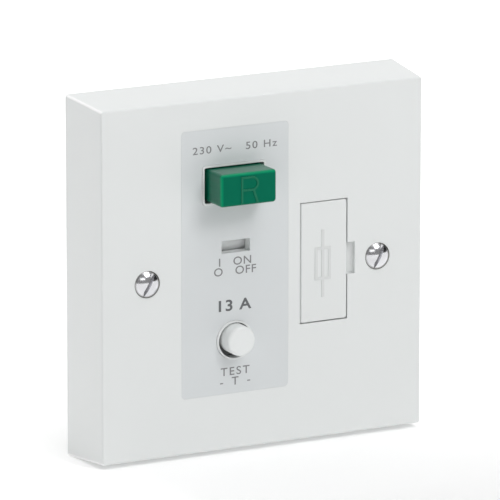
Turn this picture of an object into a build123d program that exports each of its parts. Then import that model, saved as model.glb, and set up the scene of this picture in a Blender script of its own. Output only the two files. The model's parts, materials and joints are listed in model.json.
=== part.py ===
from build123d import *
import math
import os

# A fused spur unit for a British wall box: a square white plate with a
# residual-current trip behind it. It has a reset button, a flag window, a test
# button and a hinged fuse carrier, and its cables go to six terminals at the back.
# Millimetres. +X is to the right, +Z is up and +Y goes back into the wall. The
# origin is the middle of the plate's rear rim, the plane that rests on the wall.

# Clearances
RUNNING = 0.08      # radial, a stem or pin that moves in its guide
SEATED = 0.05       # between faces that meet across a moving joint
BESIDE = 0.3        # between pieces that only lie next to each other
PRESSED = 0.02      # radial, a pin or screw held fast in its hole
ROOTED = 0.5        # how far a rib or post runs into the wall it stands on

# Front cover
plate_width = 86.0
plate_depth = 16.0
plate_draft = 1.2   # how far each side leans in over the depth
plate_wall = 2.4
plate_front = 2.6
plate_corner = 0.6
cavity_corner = 1.4
plate_edge = 0.45
pillar_r = 4.6
pillar_setback = 1.0
clamp_post_r = 1.8
clamp_post_inset = 1.0
cover_boss_r = 3.0
cover_boss_gap = 1.0
opening_corner = 0.4

# Fixing screws
fixing_spacing = 60.3
fixing_thread_r = 1.75
fixing_shank_r = 1.45
fixing_hole_r = 1.95
fixing_head_r = 3.2
fixing_head_dome = 1.15
fixing_head_rim = 0.2
fixing_head_taper = 1.7
fixing_length = 40.0
fixing_point = 2.4
fixing_point_r = 0.9
fixing_slot_width = 0.85
fixing_slot_depth = 1.05
fixing_slot_turns = (29.0, 26.0)

# Label and the column of controls
column_x = -7.5
label_shift = 0.1            # the label's middle, from the column's
label_width = 27.9
label_height = 63.5
label_z = 3.22
label_corner = 1.0
label_thick = 0.35
collar_wall = 0.45
collar_proud = 0.3

# Reset button
reset_z = 21.7
reset_width = 14.5
reset_height = 7.75
reset_gap_x = 0.5
reset_gap_z = 0.35
reset_open_shift = -0.2    # the opening's middle, from the button's
reset_proud = 7.1
reset_travel = 4.0
reset_edge = 0.8
reset_stem_r = 2.0
reset_wire_r = 0.22
reset_coil_r = 3.0
reset_turns = 4
flange_lip = 0.9
flange_thick = 1.0
letter_height = 6.4
letter_width = 4.6
letter_stroke = 0.5
letter_shift = (0.3, -0.3)
letter_proud = 0.15

# Flag window and flag
window_width = 7.4
window_shift = 0.3           # the window's middle, from the column's
window_height = 3.0
window_z = 6.6
flag_r = 3.7
flag_axis_depth = 6.8       # behind the plate's face
flag_turn = 52.0
flag_half_view = 28.0
flag_low_view = 44.0        # below straight ahead, for an eye above the window
flag_side = 1.1
flag_hub_r = 1.5
flag_pin_r = 0.6
flag_arm_thick = 1.1
flag_arm_rim = 0.3
flag_ear_thick = 1.3
drive_blade_thick = 1.2
drive_slot_play = 0.15
drive_slot_wall = 0.7

# Test button
test_z = -15.35
test_r = 3.55
test_gap = 0.7
test_open_shift = -0.45     # the opening's middle, from the button's
test_proud = 3.7
test_travel = 2.0
test_edge = 0.7
test_stem_r = 1.5
test_wire_r = 0.18
test_coil_r = 2.4
test_turns = 5
blade_thick = 0.4
blade_width = 3.0
blade_reach = 10.0
blade_overhang = 1.8
blade_room = 1.7
test_post_r = 0.8

# Fuse carrier
carrier_x = 15.9
carrier_z = 0.4
carrier_width = 12.1
carrier_gap = 0.25
carrier_skin = 1.8
carrier_edge = 0.25
carrier_corner = 0.5
carrier_web = 1.35
carrier_end_gap = 0.225
carrier_hinge_web = 0.9
carrier_hinge_inset = 1.6
carrier_hinge_depth = 1.1
carrier_rear = 9.9          # behind the plate's face
carrier_guard = 1.0
carrier_guard_angle = 34.0
carrier_guard_lap = 0.2
hinge_pin_r = 0.55
hinge_pin_length = 1.3
notch_width = 2.2
notch_height = 7.7
notch_depth = 1.8
notch_shallow = 1.0
symbol_width = 4.2
symbol_height = 7.9
symbol_line = 16.2
symbol_stroke = 0.7
symbol_proud = 0.15
symbol_offset = (-0.25, -0.45)

# Fuse
fuse_length = 25.4
fuse_r = 3.175
fuse_body_r = 2.95
fuse_bore_r = 1.7
fuse_cap_length = 6.0
fuse_cap_wall = 0.22
fuse_wire_r = 0.2
saddle_thick = 1.2
saddle_spacing = 7.0
saddle_past = 0.9
saddle_wall = 1.0
fuse_clear = 0.35

# Fuse chamber and its contacts
chamber_wall = 1.2
chamber_slot_half = 1.6
contact_leaf = 0.6
contact_leaf_width = 4.6
contact_leaf_half = 2.5
contact_inset = 2.4         # from the fuse's end to the middle of its contact
chamber_foot_r = 1.4
chamber_foot_spread = 4.0

# Depths of the inner layers, measured from the wall plane
frame_front_y = -6.0
frame_thick = 1.6
flange_plate = 2.0
board_front_y = 7.0
board_thick = 1.6
well_depth = 20.0
well_wall = 2.0

# Rear housing
well_inset = 12.0           # from the plate's edge to the well's outside
well_half = plate_width / 2 - well_inset
well_edge = 0.8
well_corner = 3.0
waist_x = 24.0
waist_z = 8.0
pillar_room = 0.6
housing_screw_r = 1.3
housing_screw_length = 8.0
housing_head_r = 2.5
housing_head_thick = 1.3

# Circuit board and what holds it
board_gap = 0.4
board_screw_inset = 4.4
board_post_r = 1.9
board_screw_r = 0.9
board_screw_length = 5.0
board_head_r = 1.55
board_head_thick = 1.2

# Mechanism frame
frame_over = 1.0            # how far the frame reaches past the well on its left
frame_right = 6.5
frame_corner = 1.5
frame_leg_r = 1.4
frame_legs = ((4.2, 19.9), (-26.8, -14.0), (4.2, -10.0), (-13.0, -8.0))
guide_pin_r = 1.2
guide_pin_x = (-20.5, -1.2)

# Contacts and the carriage that moves them
pole_inset = 6.0            # from the well's outside to the left poles
pole_spacing = 9.0
pole_rows = (8.0, 14.2)       # from the well's outside down to each row of poles
strap_thick = 1.0
strap_width = 3.0
strap_pin_r = 0.9
strap_pin_inset = 1.6
strap_gap = 1.4
rear_strap_thick = 0.8
rear_strap_width = 2.4
neutral_rise = 6.7          # from the column of controls to the neutral strap's rise
fixed_contact_height = 1.3
moving_contact_height = 1.1
contact_r = 1.3
bridge_thick = 0.8
bridge_end = 1.9
bridge_peg_r = 0.9
bridge_peg_proud = 0.5
carriage_thick = 2.0
carriage_margin = 2.0
carriage_over = 2.4
carriage_under = 2.2
carriage_right = 1.6
latch_tab_left = -17.2
latch_tab_right = -15.8
latch_tab_length = 2.8

# Latch lever
latch_x = -19.0
latch_z = 2.0
latch_front_y = -0.2
latch_thick = 1.6
latch_arm = 1.8
latch_boss_r = 2.1
latch_pin_r = 1.0
latch_pin_head_r = 1.8
latch_pin_head_thick = 0.8
latch_top_gap = 1.4
latch_toe_height = 1.6
latch_gap = 0.15
latch_arm_shift = 0.2
latch_elbow_drop = 13.0

# Trip coil
coil_inset = 8.4            # from the well's outside up to the coil's middle
coil_y = 1.6
coil_side_inset = 14.0      # from the well's outside to the coil's left end
coil_length = 13.0
coil_flange_r = 4.5
coil_flange_thick = 0.7
coil_winding_r = 4.1
coil_tube_wall = 0.45
yoke_thick = 0.8
plunger_r = 1.6
plunger_travel = 1.6
plunger_inside = 10.0
plunger_seat_gap = 4.4
plunger_seat_r = 2.6
plunger_seat_thick = 0.8
plunger_neck_r = 0.8
plunger_collar_r = 1.7
plunger_collar_thick = 1.0
plunger_wire_r = 0.15
plunger_coil_r = 2.15
plunger_turns = 5
fork_thick = 1.0
fork_play = 0.3
fork_margin = 1.3

# Terminals
terminal_width = 8.0
terminal_length = 11.0
terminal_setback = 1.0      # behind the board
terminal_depth = 6.7
terminal_bore_r = 1.9
terminal_bore_length = 8.0
terminal_bore_skin = 0.7
terminal_end_gap = 1.0
terminal_shift = 4.1        # the live terminals, right of the fuse
terminal_spacing = 12.0
terminal_screw_r = 1.5
terminal_screw_inset = 5.0
terminal_head_r = 2.9
terminal_head_thick = 1.5
terminal_head_gap = 0.1
driver_hole_r = 3.3
driver_ring_wall = 0.9
entry_hole_r = 2.7
partition_thick = 1.2
partition_gap = 0.1

# Sensing ring and its two leads
ring_x = -8.0
ring_z = 3.0
ring_outer_r = 10.5
ring_inner_r = 5.0
ring_cover = 1.1
ring_height = 5.5
ring_setback = 0.9          # behind the board
ring_wound_angle = 318.0
lead_r = 0.9
lead_offset = 2.5
lead_bend = 1.8
lead_rear_gap = 0.8
lead_run = 6.0
lead_last = 4.0

# Earth strap
earth_strap_width = 3.6

# Electronics
chip_size = (5.0, 1.8, 4.0)
chip_at = (-5.5, 9.0)
capacitor_r = 2.5
capacitor_height = 5.5
capacitor_at = (-5.5, -7.6)
thyristor_r = 2.3
thyristor_height = 4.6
thyristor_at = (-5.5, 0.2)
surge_disc_r = 4.5
surge_disc_thick = 3.0
surge_disc_at = (14.0, -6.0)
resistor_r = 1.0
resistor_length = 6.2
resistor_wire_r = 0.3
resistor_pitch = 9.6
resistor_standoff = 0.3
resistors_at = ((3.4, 12.6), (3.4, 2.0), (7.0, 4.6))
test_resistor_r = 1.3
test_resistor_at = (11.0, -12.6)

# Depths that follow from the sizes above
front_y = -plate_depth
inside_y = front_y + plate_front
frame_rear_y = frame_front_y + frame_thick
flange_rear_y = frame_rear_y + flange_plate
board_rear_y = board_front_y + board_thick
floor_y = well_depth - well_wall
button_flange_y = inside_y + SEATED
button_flange_rear_y = button_flange_y + flange_thick
strap_front_y = board_front_y - strap_thick
fixed_contact_y = strap_front_y - fixed_contact_height
moving_contact_y = fixed_contact_y - SEATED - reset_travel
bridge_rear_y = moving_contact_y - moving_contact_height
carriage_rear_y = bridge_rear_y - bridge_thick
carriage_front_y = carriage_rear_y - carriage_thick
terminal_front_y = board_rear_y + terminal_setback
terminal_rear_y = terminal_front_y + terminal_depth
terminal_bore_y = terminal_front_y + terminal_bore_skin + terminal_bore_r
terminal_head_y = terminal_rear_y + terminal_head_gap

# Places that follow from the sizes above
cover_boss_at = well_half + housing_head_r + cover_boss_gap
board_screw_at = well_half - board_screw_inset
frame_left = -(well_half + frame_over)
frame_half_height = well_half
pole_left_x = -(well_half - pole_inset)
pole_right_x = pole_left_x + pole_spacing
pole_z = (well_half - pole_rows[0], well_half - pole_rows[1])
carriage_left = pole_left_x - carriage_margin
carriage_top = pole_z[0] + carriage_over
carriage_bottom = pole_z[1] - carriage_under
latch_tab_bottom = carriage_bottom - latch_tab_length
latch_top = carriage_bottom - latch_top_gap
guide_pins = [(x, (pole_z[0] + pole_z[1]) / 2) for x in guide_pin_x]
coil_z = -(well_half - coil_inset)
coil_left = -(well_half - coil_side_inset)
terminal_live_x = carrier_x + terminal_shift
terminal_columns = {"live": terminal_live_x, "neutral": terminal_live_x - terminal_spacing,
                    "earth": -terminal_live_x}
terminal_outer_z = well_half - well_wall - terminal_end_gap
terminal_inner_z = terminal_outer_z - terminal_length
terminal_screw_z = terminal_outer_z - terminal_screw_inset
carrier_height = fuse_length + 2 * (carrier_web + carrier_end_gap)
contact_reach = fuse_length / 2 - contact_inset
fixing_x = fixing_spacing / 2
reset_open_width = reset_width + 2 * reset_gap_x
reset_open_height = reset_height + 2 * reset_gap_z
label_x = column_x + label_shift
window_x = column_x + window_shift
reset_open_x = column_x + reset_open_shift
test_open_r = test_r + test_gap
test_open_z = test_z + test_open_shift
flag_axis_y = front_y + flag_axis_depth
flag_half = window_width / 2 + flag_side
flag_arm_r = reset_travel / 2 / math.sin(math.radians(flag_turn / 2))
flag_left = column_x - flag_half - flag_arm_thick
flag_right = column_x + flag_half
carrier_left = carrier_x - carrier_width / 2
carrier_right = carrier_x + carrier_width / 2
carrier_bottom = carrier_z - carrier_height / 2
carrier_top = carrier_z + carrier_height / 2
hinge_x = carrier_left + carrier_hinge_inset
hinge_y = front_y + carrier_hinge_depth
hinge_reach = carrier_right - hinge_x
hinge_knuckle_r = carrier_hinge_inset + carrier_gap - RUNNING
fuse_y = front_y + carrier_skin + fuse_clear + fuse_r
coil_right = coil_left + coil_length
plunger_seat_x = coil_left - yoke_thick - plunger_seat_gap
fork_x = plunger_seat_x - plunger_seat_thick - fork_play
ring_front_y = board_rear_y + ring_setback
ring_rear_y = ring_front_y + ring_height


# Shapes that repeat

def face_plane(y):
    """The plane at depth y, drawn on with x to the right and z up."""
    return Plane(origin=(0, y, 0), x_dir=(1, 0, 0), z_dir=(0, -1, 0))


def prism(outline, y0, y1):
    """An outline in x and z carried back from depth y0 to depth y1."""
    return extrude(face_plane(y0) * outline, -(y1 - y0))


def block(x0, x1, y0, y1, z0, z1):
    """A plain block between two corners."""
    middle = Pos((x0 + x1) / 2, (y0 + y1) / 2, (z0 + z1) / 2)
    return middle * Box(x1 - x0, y1 - y0, z1 - z0)


def rod_x(y, z, r, x0, x1):
    """A round rod along x."""
    return Pos((x0 + x1) / 2, y, z) * Rot(0, 90, 0) * Cylinder(r, x1 - x0)


def rod_y(x, z, r, y0, y1):
    """A round rod along y."""
    return Pos(x, (y0 + y1) / 2, z) * Rot(90, 0, 0) * Cylinder(r, y1 - y0)


def rod_z(x, y, r, z0, z1):
    """A round rod along z."""
    return Pos(x, y, (z0 + z1) / 2) * Cylinder(r, z1 - z0)


def biarc(start, start_way, end, end_way):
    """Two arcs that leave start along start_way and reach end along end_way."""
    span = end - start
    ways = start_way + end_way
    a = 2 * (start_way.dot(end_way) - 1)
    b = -2 * span.dot(ways)
    c = span.dot(span)
    reach = (-b - math.sqrt(b * b - 4 * a * c)) / (2 * a)
    near = start + start_way * reach
    far = end - end_way * reach
    middle = (near + far) * 0.5
    return [TangentArc(start, middle, tangent=start_way),
            TangentArc(middle, end, tangent=(far - near).normalized())]


def coil_spring(place, coil_r, wire_r, length, turns):
    """A coil spring along its own z from 0 to length, moved to its place. Its least gap is printed."""
    rise = length - 2 * wire_r
    steps = turns * 4

    def point(i):
        angle = 2 * math.pi * i / 4
        return Vector(coil_r * math.cos(angle), coil_r * math.sin(angle), wire_r + rise * i / steps)

    def way(i):
        angle = 2 * math.pi * i / 4
        climb = rise / turns / (2 * math.pi)
        return Vector(-coil_r * math.sin(angle), coil_r * math.cos(angle), climb).normalized()

    arcs = []
    for i in range(steps):
        arcs += biarc(point(i), way(i), point(i + 1), way(i + 1))
    path = Wire(arcs)
    wire = sweep(Plane(origin=point(0), z_dir=way(0)) * Circle(wire_r), path=path)
    print("least gap between turns", round(rise / turns - 2 * wire_r, 2))
    return place * wire


def well_outline(inset):
    """The rear well's outline in x and z, drawn in by inset, waisted to clear the wall box lugs."""
    half = well_half - inset
    side = waist_x - inset
    waist = waist_z + inset
    outline = RectangleRounded(2 * half, 2 * half, max(well_corner - inset, well_edge))
    for hand in (-1, 1):
        middle = hand * (half + side) / 2
        outline -= Pos(middle, 0) * Rectangle(half - side, 2 * waist)
    return outline


def cover_taper():
    """The lean of the plate's sides, in degrees."""
    return math.degrees(math.atan(plate_draft / plate_depth))


def four_corners(at):
    """Four places in x and z, the same distance out both ways."""
    return [(x, z) for x in (-at, at) for z in (-at, at)]


# Front cover

def cover_shell():
    """The drafted square shell, open at the back."""
    shell = extrude(face_plane(0) * Rectangle(plate_width, plate_width), plate_depth, taper=cover_taper())
    corners = [edge for edge in shell.edges() if abs(edge.tangent_at(0).Y) > 0.5]
    shell = fillet(corners, plate_corner)
    front_face = shell.faces().sort_by(Axis.Y)[0]
    shell = fillet(front_face.edges(), plate_edge)
    inner_width = plate_width - 2 * plate_wall
    inner = RectangleRounded(inner_width, inner_width, cavity_corner)
    cavity = extrude(face_plane(0) * inner, plate_depth - plate_front, taper=cover_taper())
    return shell - cavity


def cover_pillars():
    """Pillars for the fixing screws, bosses for the housing screws and posts that clamp the frame."""
    posts = []
    for hand in (-1, 1):
        posts.append(rod_y(hand * fixing_x, 0, pillar_r, inside_y, -pillar_setback))
    for x, z in four_corners(cover_boss_at):
        boss = rod_y(x, z, cover_boss_r, inside_y, frame_rear_y)
        pilot_front = flange_rear_y - housing_screw_length - BESIDE
        posts.append(boss - rod_y(x, z, housing_screw_r + PRESSED, pilot_front, frame_rear_y))
    for z in (-1, 1):
        post_z = z * (frame_half_height - clamp_post_r - clamp_post_inset)
        posts.append(rod_y(frame_left + clamp_post_r + clamp_post_inset, post_z, clamp_post_r, inside_y, frame_front_y))
    return posts


def cover_collars():
    """Raised rims round the reset and test openings, standing through the label."""
    floor = front_y + label_thick
    rim_y = front_y - collar_proud
    reset_rim = Pos(reset_open_x, reset_z) * RectangleRounded(
        reset_open_width + 2 * collar_wall, reset_open_height + 2 * collar_wall, collar_wall + opening_corner)
    test_rim = Pos(column_x, test_open_z) * Circle(test_open_r + collar_wall)
    return prism(reset_rim, rim_y, floor) + prism(test_rim, rim_y, floor)


def cover_openings():
    """What is cut through the plate's face."""
    front = front_y - collar_proud - 1
    cuts = prism(Pos(reset_open_x, reset_z) * RectangleRounded(reset_open_width, reset_open_height, opening_corner),
                 front, inside_y + 1)
    cuts += rod_y(column_x, test_open_z, test_open_r, front, inside_y + 1)
    cuts += prism(Pos(window_x, window_z) * Rectangle(window_width, window_height), front, inside_y + 1)
    door = Pos(carrier_x, carrier_z) * Rectangle(
        carrier_width + 2 * carrier_gap, carrier_height + 2 * carrier_gap)
    cuts += prism(door, front, inside_y + 1)
    return cuts


def lever_notch():
    """The wedge beside the carrier that lets a screwdriver in to lever it open."""
    left = carrier_right + carrier_gap / 2
    right = carrier_right + notch_width
    half = notch_height / 2
    side = Polyline((left, front_y - 1), (right, front_y - 1), (right, front_y + notch_shallow),
                    (left, front_y + notch_depth), close=True)
    wedge = extrude(Plane.XY * make_face(side), half, both=True)
    return Pos(0, 0, carrier_z) * wedge


def hinge_sockets():
    """Blind holes in the ends of the door opening for the carrier's two stub pins."""
    low = carrier_bottom - carrier_gap
    high = carrier_top + carrier_gap
    deep = hinge_pin_length - carrier_gap + BESIDE
    r = hinge_pin_r + RUNNING
    return rod_z(hinge_x, hinge_y, r, low - deep, low + 0.1) + rod_z(hinge_x, hinge_y, r, high - 0.1, high + deep)


def fixing_head_cone(x, grow):
    """The tapered underside of a fixing screw's head, grown for its seat in the plate."""
    outer, inner = fixing_head_r + grow, fixing_shank_r + grow
    profile = Polyline((0, front_y - grow), (outer, front_y - grow), (outer, front_y + fixing_head_rim),
                       (inner, front_y + fixing_head_taper), (0, front_y + fixing_head_taper), close=True)
    return Pos(x, 0, 0) * revolve(Plane.XY * make_face(profile), Axis.Y)


def front_cover():
    body = cover_shell()
    for post in cover_pillars():
        body += post
    recess = Pos(label_x, label_z) * RectangleRounded(label_width, label_height, label_corner)
    body -= prism(recess, front_y - 1, front_y + label_thick)
    body += cover_collars()
    body -= cover_openings()
    body -= lever_notch()
    body -= hinge_sockets()
    for hand in (-1, 1):
        body -= rod_y(hand * fixing_x, 0, fixing_hole_r, front_y - 1, 0)
        body -= fixing_head_cone(hand * fixing_x, SEATED)
    return body


def label_panel():
    """The thin printed label, flush in its recess, with holes for the two rims and the window."""
    outline = Pos(label_x, label_z) * RectangleRounded(
        label_width - SEATED, label_height - SEATED, label_corner)
    rim = 2 * (collar_wall + SEATED)
    outline -= Pos(reset_open_x, reset_z) * RectangleRounded(
        reset_open_width + rim, reset_open_height + rim, collar_wall + opening_corner)
    outline -= Pos(column_x, test_open_z) * Circle(test_open_r + collar_wall + SEATED)
    outline -= Pos(window_x, window_z) * Rectangle(window_width, window_height)
    return prism(outline, front_y, front_y + label_thick)


def fixing_screw(x, slot_turn):
    """A slotted raised-head screw: dome, tapered underside, plain shank, threaded end with a cone point."""
    rise = fixing_head_dome
    dome_r = (fixing_head_r ** 2 + rise ** 2) / (2 * rise)
    centre_y = front_y - rise + dome_r
    dome = Pos(0, centre_y, 0) * Sphere(dome_r)
    dome &= rod_y(0, 0, fixing_head_r, front_y - 2 * rise, front_y)
    thread_front = BESIDE
    end_y = front_y + fixing_length
    body = Pos(x, 0, 0) * dome + fixing_head_cone(x, 0)
    body += rod_y(x, 0, fixing_shank_r, front_y + fixing_head_taper - 0.1, thread_front)
    point = Polyline((0, thread_front), (fixing_thread_r, thread_front), (fixing_thread_r, end_y - fixing_point),
                     (fixing_point_r, end_y), (0, end_y), close=True)
    body += Pos(x, 0, 0) * revolve(Plane.XY * make_face(point), Axis.Y)
    slot = Box(fixing_slot_width, 2 * fixing_slot_depth, 3 * fixing_head_r)
    body -= Pos(x, front_y - rise, 0) * Rot(0, slot_turn, 0) * slot
    return body


def fixing_screws():
    return [fixing_screw(hand * fixing_x, turn) for hand, turn in zip((-1, 1), fixing_slot_turns)]


# Buttons and their springs

def reset_letter():
    """A plain R, drawn in strokes, standing a little off the button's face."""
    half_w, half_h, s = letter_width / 2, letter_height / 2, letter_stroke
    bowl_r = letter_height * 0.27
    stem = Pos(-half_w + s / 2, 0) * Rectangle(s, letter_height)
    bowl_z = half_h - bowl_r
    bowl_x = half_w - bowl_r
    bowl = Pos(bowl_x, bowl_z) * (Circle(bowl_r) - Circle(bowl_r - s))
    bowl &= Pos(bowl_x + bowl_r, bowl_z) * Rectangle(2 * bowl_r, 2 * bowl_r)
    bars = Sketch()
    for bar_z in (half_h - s / 2, half_h - 2 * bowl_r + s / 2):
        left = -half_w
        bars += Pos((left + bowl_x) / 2, bar_z) * Rectangle(bowl_x - left, s)
    foot = half_h - 2 * bowl_r + s / 2
    leg_x = half_w - 0.36 * letter_width
    leg = make_face(Polyline((leg_x, foot), (leg_x + 1.1 * s, foot), (half_w, -half_h),
                             (half_w - 1.1 * s, -half_h), close=True))
    return Pos(*letter_shift) * (stem + bowl + bars + leg)


def reset_button():
    """The green button: a block with a lip behind the plate and a stem that meets the carriage."""
    face_y = front_y - reset_proud
    body = prism(Pos(column_x, reset_z) * RectangleRounded(reset_width, reset_height, reset_edge),
                 face_y, button_flange_rear_y)
    front_face = body.faces().sort_by(Axis.Y)[0]
    body = fillet(front_face.edges(), reset_edge - 0.1)
    lip = Pos(reset_open_x, reset_z) * Rectangle(
        reset_open_width + 2 * flange_lip, reset_open_height + 2 * flange_lip)
    body += prism(lip, button_flange_y, button_flange_rear_y)
    body += rod_y(column_x, reset_z, reset_stem_r, button_flange_rear_y, carriage_front_y - SEATED)
    body += prism(Pos(column_x, reset_z) * reset_letter(), face_y - letter_proud, face_y + 0.1)
    return body


def reset_spring():
    place = Pos(column_x, frame_front_y, reset_z) * Rot(90, 0, 0)
    return coil_spring(place, reset_coil_r, reset_wire_r, frame_front_y - button_flange_rear_y, reset_turns)


def test_button():
    """The round white button, with a lip behind the plate and a stem that bends the blade."""
    face_y = front_y - test_proud
    body = rod_y(column_x, test_z, test_r, face_y, button_flange_rear_y)
    front_edge = body.edges().filter_by(GeomType.CIRCLE).sort_by(Axis.Y)[0]
    body = fillet(front_edge, test_edge)
    body += rod_y(column_x, test_open_z, test_open_r + flange_lip, button_flange_y, button_flange_rear_y)
    body += rod_y(column_x, test_z, test_stem_r, button_flange_rear_y, blade_front_y() - SEATED)
    return body


def test_spring():
    place = Pos(column_x, frame_front_y, test_z) * Rot(90, 0, 0)
    return coil_spring(place, test_coil_r, test_wire_r, frame_front_y - button_flange_rear_y, test_turns)


def blade_front_y():
    """The blade lies just behind the frame, with room for its bend."""
    return frame_rear_y + blade_room


def test_blade():
    """A springy strip on a leg from the board, under the test button's stem."""
    y0 = blade_front_y()
    y1 = y0 + blade_thick
    left = column_x - blade_overhang
    right = column_x + blade_reach
    half = blade_width / 2
    strip = block(left, right, y0, y1, test_z - half, test_z + half)
    leg = block(right - blade_thick, right, y0, board_front_y, test_z - half, test_z + half)
    return strip + leg


def test_post():
    """The contact that the blade meets when the test button is pressed."""
    top = blade_front_y() + blade_thick + test_travel + SEATED
    return rod_y(column_x, test_z, test_post_r, top, board_front_y)


# Flag

def flag_point(angle):
    """A place on the flag's arm pin at rest plus angle, as y and z. Angles go up from straight ahead."""
    turn = math.radians(angle)
    return flag_axis_y - flag_arm_r * math.cos(turn), window_z + flag_arm_r * math.sin(turn)


def flag_arm_angle():
    """The arm points down, half the flag's turn ahead of square."""
    return -(90.0 - flag_turn / 2)


def indicator_flag():
    """A drum segment, white ahead and red above, with a hub and a cranked arm at its left end."""
    low = math.radians(-flag_low_view)
    high = math.radians(flag_half_view + flag_turn)
    centre = (flag_axis_y, window_z)

    def rim(angle):
        return centre[0] - flag_r * math.cos(angle), centre[1] + flag_r * math.sin(angle)

    plane = Plane(origin=(column_x - flag_half, 0, 0), x_dir=(0, 1, 0), z_dir=(1, 0, 0))
    edge = ThreePointArc(rim(low), rim((low + high) / 2), rim(high))
    segment = make_face([Line(centre, rim(low)), edge, Line(rim(high), centre)])
    drum = extrude(plane * segment, 2 * flag_half)
    drum += rod_x(flag_axis_y, window_z, flag_hub_r, flag_left, flag_right)
    pin_y, pin_z = flag_point(flag_arm_angle())
    arm_width = 2 * (flag_pin_r + flag_arm_rim)
    arm_middle = Pos((flag_left + column_x - flag_half) / 2, (flag_axis_y + pin_y) / 2, (window_z + pin_z) / 2)
    arm = Rot(-flag_turn / 2, 0, 0) * Box(flag_arm_thick, arm_width, flag_arm_r)
    drum += arm_middle * arm
    drum += rod_x(pin_y, pin_z, arm_width / 2, flag_left, column_x - flag_half)
    drum += rod_x(pin_y, pin_z, flag_pin_r, flag_left - drive_blade_thick - 2 * BESIDE, flag_left)
    return drum - rod_x(flag_axis_y, window_z, flag_pin_r + RUNNING, flag_left - 1, flag_right + 1)


def flag_ear_spans():
    """Where the two ears that carry the flag's pin stand along x."""
    left = flag_left - 2 * BESIDE - flag_ear_thick
    right = flag_right + BESIDE
    return (left, left + flag_ear_thick), (right, right + flag_ear_thick)


def flag_pin():
    (left, _), (_, right) = flag_ear_spans()
    return rod_x(flag_axis_y, window_z, flag_pin_r, left, right)


# Mechanism frame

def frame_outline():
    """The frame's plate, cut away round the left fixing pillar."""
    middle = ((frame_left + frame_right) / 2, 0)
    outline = Pos(*middle) * RectangleRounded(frame_right - frame_left, 2 * frame_half_height, frame_corner)
    outline -= Pos(-fixing_x, 0) * Circle(pillar_r + pillar_room)
    return outline


def drive_blade_span():
    """The x limits of the carriage blade that turns the flag, just left of the flag's arm."""
    right = flag_left - BESIDE
    return right - drive_blade_thick, right


def drive_blade_box():
    """The y and z limits of that blade's free end, round the slot for the flag's pin."""
    pin_y, pin_z = flag_point(flag_arm_angle())
    lowest = window_z - flag_arm_r
    reach = flag_pin_r + drive_slot_play + drive_slot_wall
    return pin_y - reach, lowest - reach, pin_z + reach


def mechanism_frame():
    frame = prism(frame_outline(), frame_front_y, frame_rear_y)
    for x, z in frame_legs:
        frame += rod_y(x, z, frame_leg_r, frame_rear_y, board_front_y)
    for x, z in guide_pins:
        frame -= rod_y(x, z, guide_pin_r + PRESSED, frame_front_y - 1, frame_rear_y + 1)
    frame -= rod_y(column_x, reset_z, reset_stem_r + RUNNING, frame_front_y - 1, frame_rear_y + 1)
    frame -= rod_y(column_x, test_z, test_stem_r + RUNNING, frame_front_y - 1, frame_rear_y + 1)
    left, right = drive_blade_span()
    _, low, high = drive_blade_box()
    frame -= block(left - BESIDE, right + BESIDE, frame_front_y - 1, frame_rear_y + 1, low - BESIDE, high + BESIDE)
    for x0, x1 in flag_ear_spans():
        ear_front = flag_axis_y - flag_hub_r
        ear = block(x0, x1, ear_front, frame_front_y, window_z - flag_hub_r, window_z + flag_hub_r + 1)
        frame += ear - rod_x(flag_axis_y, window_z, flag_pin_r + PRESSED, x0 - 1, x1 + 1)
    frame += rod_y(latch_x, latch_z, latch_boss_r, frame_rear_y, latch_front_y - RUNNING)
    frame -= rod_y(latch_x, latch_z, latch_pin_r + PRESSED, frame_front_y - 1, latch_front_y + 1)
    return frame


def guide_pin_pair():
    """The two steel pins that keep the carriage straight, from the frame to the board."""
    return [rod_y(x, z, guide_pin_r, frame_front_y, board_front_y) for x, z in guide_pins]


# Contact carriage

def contact_carriage():
    """The moulding that carries both bridges and turns the flag as it moves back."""
    body = block(carriage_left, carriage_right, carriage_front_y, carriage_rear_y, carriage_bottom, carriage_top)
    left, right = drive_blade_span()
    tip_y, low, high = drive_blade_box()
    body += block(left, right, carriage_front_y, carriage_rear_y, low, carriage_bottom)
    body += block(left, right, tip_y, carriage_front_y, low, high)
    body += block(latch_tab_left, latch_tab_right, carriage_front_y, carriage_rear_y,
                  latch_tab_bottom, carriage_bottom)
    for x, z in guide_pins:
        body -= rod_y(x, z, guide_pin_r + RUNNING, carriage_front_y - 1, carriage_rear_y + 1)
    for z in pole_z:
        body += rod_y(pole_middle_x(), z, bridge_peg_r, carriage_rear_y, bridge_rear_y + bridge_peg_proud)
    pin_y, pin_z = flag_point(flag_arm_angle())
    half = flag_pin_r + drive_slot_play
    slot = block(left - 1, right + 1, pin_y - half, pin_y + half, window_z - flag_arm_r, pin_z)
    for end in (window_z - flag_arm_r, pin_z):
        slot += rod_x(pin_y, end, half, left - 1, right + 1)
    return body - slot


def pole_middle_x():
    return (pole_left_x + pole_right_x) / 2


def contact_bridges():
    """Two copper strips, each held by a peg on the carriage."""
    bridges = []
    for z in pole_z:
        half = strap_width / 2
        strip = block(pole_left_x - bridge_end, pole_right_x + bridge_end, carriage_rear_y, bridge_rear_y,
                      z - half, z + half)
        bridges.append(strip - rod_y(pole_middle_x(), z, bridge_peg_r + PRESSED, carriage_rear_y - 1,
                                     bridge_rear_y + 1))
    return bridges


def pole_places():
    return [(x, z) for x in (pole_left_x, pole_right_x) for z in pole_z]


def moving_contacts():
    return [rod_y(x, z, contact_r, bridge_rear_y, moving_contact_y) for x, z in pole_places()]


def fixed_contacts():
    return [rod_y(x, z, contact_r, fixed_contact_y, strap_front_y) for x, z in pole_places()]


# Latch and trip coil

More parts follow.
